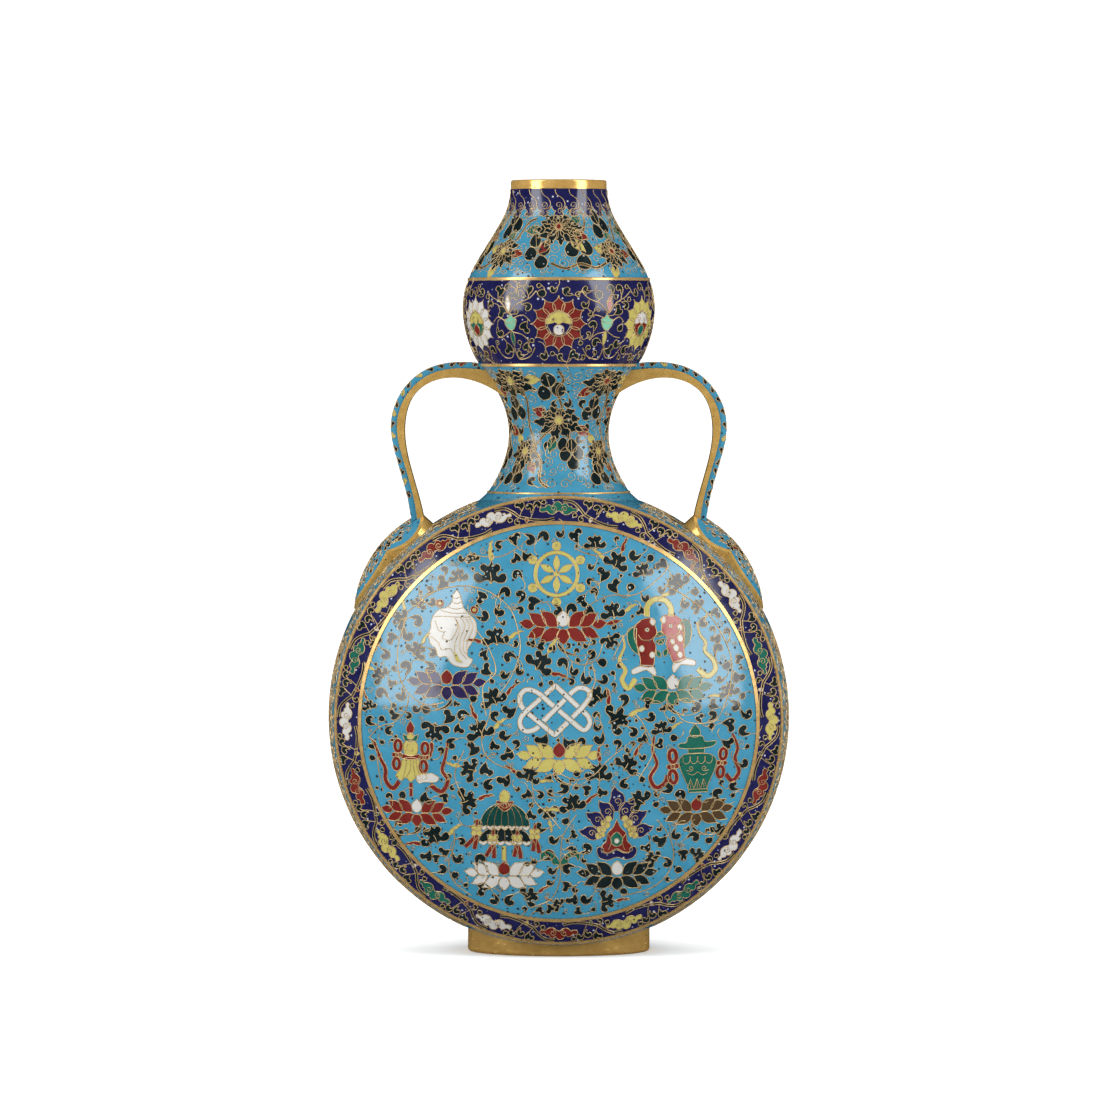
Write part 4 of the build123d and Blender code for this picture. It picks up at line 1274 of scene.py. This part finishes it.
def specks(tree, coords, scale, share, size):
    """Round specks: 1 inside a speck, 0 outside. share of the cells have one, up to size."""
    cells = add_node(tree, "ShaderNodeTexVoronoi", Scale=scale)
    tree.links.new(coords, cells.inputs["Vector"])
    pick = tree.nodes.new("ShaderNodeSeparateColor")
    tree.links.new(cells.outputs["Color"], pick.inputs["Color"])
    reach = remap(tree, pick.outputs["Red"], 1 - share, 1.0, 0.0, size)
    depth = math_node(tree, "SUBTRACT", reach, cells.outputs["Distance"])
    return remap(tree, depth, 0.0, 0.035, 0.0, 1.0)


def new_material(name):
    material = bpy.data.materials.new(name)
    material.use_nodes = True
    tree = material.node_tree
    shader = tree.nodes["Principled BSDF"]
    coords = tree.nodes.new("ShaderNodeTexCoord").outputs["Object"]
    return material, tree, shader, coords


def bump(tree, shader, height, distance, strength):
    node = add_node(tree, "ShaderNodeBump", Strength=strength, Distance=distance)
    tree.links.new(height, node.inputs["Height"])
    tree.links.new(node.outputs["Normal"], shader.inputs["Normal"])


# How fine each pattern is, as repeats to the metre.
ENAMEL_MOTTLE = 160
ENAMEL_GRAIN = 2400
ENAMEL_PITS = 620
ENAMEL_WAVES = 230
GILT_STREAKS = 420
GILT_PATCHES = 260
GILT_PITS = 520
STREAK_STRETCH = 14  # how much closer the streaks lie up the piece than round it
ENAMEL_RELIEF = .00006
GILT_RELIEF = .00005
PIT_BROWN = (44, 30, 18)
DARKEN = 0.43  # chosen with the lights below: every enamel's own colour is darkened by this


def enamel(name, colour, speck=(46, 38, 32), share=.6, size=.2, mottle=.10, gloss=.12):
    """Fired and polished enamel: mottled colour, pits and specks, and a faintly wavy gloss."""
    material, tree, shader, coords = new_material(name)
    base = tuple(c * DARKEN for c in linear(colour))
    light = tuple(min(1, c * (1 + mottle) + .004) for c in base)
    dark = tuple(c * (1 - mottle) for c in base)
    broad = noise(tree, coords, ENAMEL_MOTTLE, 3)
    fine = noise(tree, coords, ENAMEL_GRAIN, 2)
    blend = math_node(tree, "ADD", remap(tree, broad, .35, .65, 0, .6), remap(tree, fine, .3, .7, 0, .4))
    body = mix(tree, blend, dark, light)
    pits = specks(tree, coords, ENAMEL_PITS, share, size)
    tree.links.new(mix(tree, pits, body, tuple(c * DARKEN for c in linear(speck))),
                   shader.inputs["Base Color"])
    rough = math_node(tree, "ADD", remap(tree, broad, .3, .7, gloss - .04, gloss + .05),
                      remap(tree, pits, 0, 1, 0, .35))
    tree.links.new(rough, shader.inputs["Roughness"])
    waves = noise(tree, coords, ENAMEL_WAVES, 1)
    height = math_node(tree, "SUBTRACT", waves, math_node(tree, "MULTIPLY", pits, .8))
    bump(tree, shader, height, ENAMEL_RELIEF, .35)
    shader.inputs["Specular IOR Level"].default_value = .5
    return material


def gilt(name, bright, dull, rough=.3, streak=1.0, pitted=.25, metal=1.0, relief=.3):
    """Fire-gilt copper: brushed streaks round the piece, duller patches and small dark pits."""
    material, tree, shader, coords = new_material(name)
    stretch = tree.nodes.new("ShaderNodeVectorMath")
    stretch.operation = "MULTIPLY"
    tree.links.new(coords, stretch.inputs[0])
    stretch.inputs[1].default_value = (1, 1, STREAK_STRETCH * streak)
    streaks = noise(tree, stretch.outputs["Vector"], GILT_STREAKS, 4)
    patches = noise(tree, coords, GILT_PATCHES, 4)
    tone = math_node(tree, "ADD", remap(tree, patches, .3, .7, 0, .65),
                     remap(tree, streaks, .35, .65, 0, .35))
    body = mix(tree, tone, linear(dull), linear(bright))
    pits = specks(tree, coords, GILT_PITS, pitted, .17)
    tree.links.new(mix(tree, pits, body, linear(PIT_BROWN)), shader.inputs["Base Color"])
    shader.inputs["Metallic"].default_value = metal
    spread = remap(tree, streaks, .3, .7, rough - .07, rough + .08)
    tree.links.new(math_node(tree, "ADD", spread, remap(tree, pits, 0, 1, 0, .05)),
                   shader.inputs["Roughness"])
    height = math_node(tree, "SUBTRACT", streaks, pits)
    bump(tree, shader, height, GILT_RELIEF, relief)
    return material


ENAMELS = {
    "turquoise": enamel("turquoise_enamel", (72, 157, 191), share=.8, size=.34, mottle=.1),
    "navy": enamel("navy_enamel", (30, 31, 84), (206, 208, 224), .9, .27, .2),
    "black": enamel("black_enamel", (22, 36, 38), (186, 194, 186), .85, .25, .3),
    "red": enamel("red_enamel", (130, 40, 34), (60, 22, 18), .7, .26, .14),
    # a lighter red: on the second fish it is a painted highlight over red enamel, on the lower bulb's pods
    # it is their pink tips
    "pink_and_highlit_red": enamel("pink_and_highlit_red_enamel", (176, 82, 78), (60, 22, 18), .7, .26, .14),
    "yellow": enamel("yellow_enamel", (207, 195, 106), (50, 46, 26), .7, .26, .08),
    "green": enamel("green_enamel", (28, 108, 90), (16, 40, 36), .7, .26, .16),
    "darkgreen": enamel("dark_green_enamel", (18, 74, 68), (140, 160, 150), .4, .12, .3),
    "palegreen": enamel("pale_green_enamel", (136, 204, 172), (60, 80, 70), .4, .16, .12),
    "white": enamel("white_enamel", (222, 220, 214), (60, 54, 48), .75, .28, .05),
    "purple": enamel("purple_enamel", (44, 34, 82), (130, 124, 140), .4, .12, .25),
    "brown": enamel("brown_enamel", (84, 64, 40), (36, 28, 20), .5, .16, .2),
}
WIRE_GILT = gilt("wire_gilt", (204, 178, 130), (150, 124, 84), .34, 1.0, .1, .62)
BAND_GILT = gilt("band_gilt", (224, 186, 122), (202, 164, 102), .28, .1, .2, .72, .12)
FOOT_GILT = gilt("foot_gilt", (238, 194, 112), (216, 168, 90), .2, .15, .35, .68, .08)
HANDLE_GILT = gilt("handle_gilt", (232, 190, 108), (208, 164, 86), .26, .1, .3, .66, .12)
COPPER = gilt("oxidised_copper", (122, 82, 54), (64, 44, 34), .5, .2, .4)

# ---------------------------------------------------------------- making the pieces


def build(field):
    """One object for each colour of a field, and one for its wires."""
    for colour, (verts, faces, _) in field.meshes.items():
        name = f"{field.name}_{'wires' if colour == 'wire' else colour}"
        mesh = bpy.data.meshes.new(name)
        mesh.from_pydata((np.concatenate(verts) * MM).tolist(), [], faces)
        mesh.validate()
        mesh.shade_smooth()
        mesh.materials.append(WIRE_GILT if colour == "wire" else ENAMELS[colour])
        piece = bpy.data.objects.new(name, mesh)
        bpy.context.scene.collection.objects.link(piece)
        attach(piece, "root")


def dress(node, material):
    mesh = NODES[node].data
    mesh.materials.clear()
    mesh.materials.append(material)
    mesh.shade_smooth()


for node_name in NODES:
    if node_name.endswith("_shell"):
        dress(node_name, COPPER)
    elif node_name.endswith("_band"):
        dress(node_name, BAND_GILT)
    elif node_name in ("left_handle", "right_handle"):
        dress(node_name, HANDLE_GILT)
    elif node_name in ("foot_ring", "base_plate", "mouth_rim"):
        dress(node_name, FOOT_GILT)
    elif "border" in node_name or node_name in ("bulb_lower_enamel", "collar_enamel"):
        dress(node_name, ENAMELS["navy"])
    else:
        dress(node_name, ENAMELS["turquoise"])

border_high = corners("front_border_enamel")[1]
border_inner = DISC_R + INNER_BAND
border_radius = (border_inner + border_high[0]) / 2
for face_name, face_side, face_flip, face_seed in (("front", -1, 1, 11), ("back", 1, -1, 12)):
    build(medallion(f"{face_name}_medallion", face_side, face_flip, face_seed))
    build(border(f"{face_name}_border", face_side, face_flip, border_radius))

FRONT = np.array([0.0, -1.0, 0.0])
UP = np.array([0.0, 0.0, 1.0])
ORIGIN = np.zeros(3)


def gourd_span(node):
    low, high = corners(node)
    profile = profile_of([node], ORIGIN, UP, FRONT, low[2] + .05, high[2])
    return profile, low[2], high[2]


GOURD_PARTS = [  # the node, what is drawn on it, and the radius its drawing is made for
    ("neck_enamel", neck, 18.0),
    ("bulb_upper_enamel", upper_bulb, 24.0),
    ("bulb_lower_enamel", lower_bulb, 30.0),
]
gourd_shapes = {}
for part, draw, girth in GOURD_PARTS:
    shape, base, crown = gourd_span(part)
    gourd_shapes[part] = shape
    canvas = gourd_field(part.replace("_enamel", ""), turned_place(shape, Z, girth), GOURD_GRAIN, base + .5,
                         crown - .4, girth)
    draw(canvas, girth, base + .6, crown - .5)
    build(canvas)

collar_shape, collar_base, collar_top = gourd_span("collar_enamel")
upper_shape = gourd_shapes["bulb_upper_enamel"]
joined = (np.concatenate([upper_shape[0], collar_shape[0]]),
          np.concatenate([upper_shape[1], collar_shape[1]]))
COLLAR_GIRTH = 17.0
collar_field = Field("collar", turned_place(joined, Z, COLLAR_GIRTH), GOURD_GRAIN)
lappets(collar_field, collar_top, collar_base, COLLAR_GIRTH)
build(collar_field)

side_low, side_high = corners("left_side_enamel")
side_half = side_high[1]
LEFT = np.array([-1.0, 0.0, 0.0])
side_profile = profile_of(["left_side_enamel"], np.array([0.0, 0.0, BODY_Z]), np.array([0.0, 1.0, 0.0]),
                          LEFT, -side_half + .05, side_half)
side_r = -side_low[0]
side_field = Field("side_wall", turned_place(side_profile, Y, side_r), SIDE_GRAIN)
skirt_reach = corners("skirt_enamel")[1][0] + .6
foot_reach = corners("foot_ring")[1][0] + .6
side_wall(side_field, side_r, side_half - .8, skirt_reach,
          (math.pi - math.asin(foot_reach / side_r)) * side_r)
build(side_field)

for hand_name, hand in (("left", -1), ("right", 1)):
    strap_map, strap_length, strap_half, strap_side = strap_place(hand)
    strap_field = Field(f"{hand_name}_strap", strap_map, STRAP_GRAIN)
    strap(strap_field, strap_length, strap_half - .4, STRAP_SEED + hand)
    build(strap_field)
    for side_name, side in (("front", -1), ("back", 1)):
        edge_field = Field(f"{hand_name}_strap_{side_name}_edge", strap_side(side), STRAP_GRAIN)
        strap_edge(edge_field, strap_length, EDGE_SEED + hand)
        build(edge_field)
    pad_field = Field(f"{hand_name}_pad", pad_place(hand), PAD_GRAIN)
    pad(pad_field, PAD_SEED + hand)
    build(pad_field)

# ---------------------------------------------------------------- stage, light and camera


def plane(name, size, material, z=0.0):
    mesh = bpy.data.meshes.new(name)
    h = size / 2
    mesh.from_pydata([(-h, -h, z), (h, -h, z), (h, h, z), (-h, h, z)], [], [(0, 1, 2, 3)])
    mesh.materials.append(material)
    obj = bpy.data.objects.new(name, mesh)
    bpy.context.scene.collection.objects.link(obj)
    return obj


FLOOR_SIZE = 30
ROOM_LIGHT = 1.3
LIGHT_AIM = (0, 0, .13)
KEY_HEIGHT = 24  # degrees above the level
KEY_DISTANCE = 1.7
KEY_TALL = 1.5
KEY_RADIANCE = 6.2
CAMERA_PLACE = (0, -1.95, .2)
CAMERA_TARGET = (.0004, 0, .127)
VIEW_ANGLE = 10.64  # degrees
SENSOR = 36

paper, _, paper_shader, _ = new_material("white_paper")
paper_shader.inputs["Base Color"].default_value = (1, 1, 1, 1)
paper_shader.inputs["Roughness"].default_value = .8
paper_shader.inputs["Specular IOR Level"].default_value = 0
floor = plane("floor", FLOOR_SIZE, paper, float(cad_bounds[0][2]))
floor.visible_glossy = False

world = bpy.data.worlds.new("white_room")
bpy.context.scene.world = world
world.use_nodes = True
world.node_tree.nodes["Background"].inputs["Color"].default_value = (1, 1, 1, 1)
world.node_tree.nodes["Background"].inputs["Strength"].default_value = ROOM_LIGHT
world.cycles_visibility.glossy = False


def softbox(name, azimuth, elevation, distance, wide, tall, radiance):
    """A large soft light that looks at the vase; azimuth is from the front, to the right."""
    centre = Vector(LIGHT_AIM)
    a, e = math.radians(azimuth), math.radians(elevation)
    away = Vector((math.sin(a) * math.cos(e), -math.cos(a) * math.cos(e), math.sin(e)))
    light = bpy.data.lights.new(name, "AREA")
    light.shape = "RECTANGLE"
    light.size, light.size_y = wide, tall
    light.energy = radiance * math.pi * wide * tall
    lamp = bpy.data.objects.new(name, light)
    lamp.location = centre + away * distance
    lamp.rotation_euler = away.to_track_quat("Z", "Y").to_euler()
    bpy.context.scene.collection.objects.link(lamp)


softbox("key_left", -56, KEY_HEIGHT, KEY_DISTANCE, .76, KEY_TALL, KEY_RADIANCE)
softbox("key_right", 57, KEY_HEIGHT, KEY_DISTANCE, .74, KEY_TALL, KEY_RADIANCE)

camera_data = bpy.data.cameras.new("camera")
camera = bpy.data.objects.new("camera", camera_data)
bpy.context.scene.collection.objects.link(camera)
camera.location = CAMERA_PLACE
target = Vector(CAMERA_TARGET)
camera.rotation_euler = (camera.location - target).to_track_quat("Z", "Y").to_euler()
camera_data.sensor_width = SENSOR
camera_data.lens = SENSOR / (2 * math.tan(math.radians(VIEW_ANGLE) / 2))
bpy.context.scene.camera = camera
bpy.context.scene.view_settings.view_transform = "Standard"
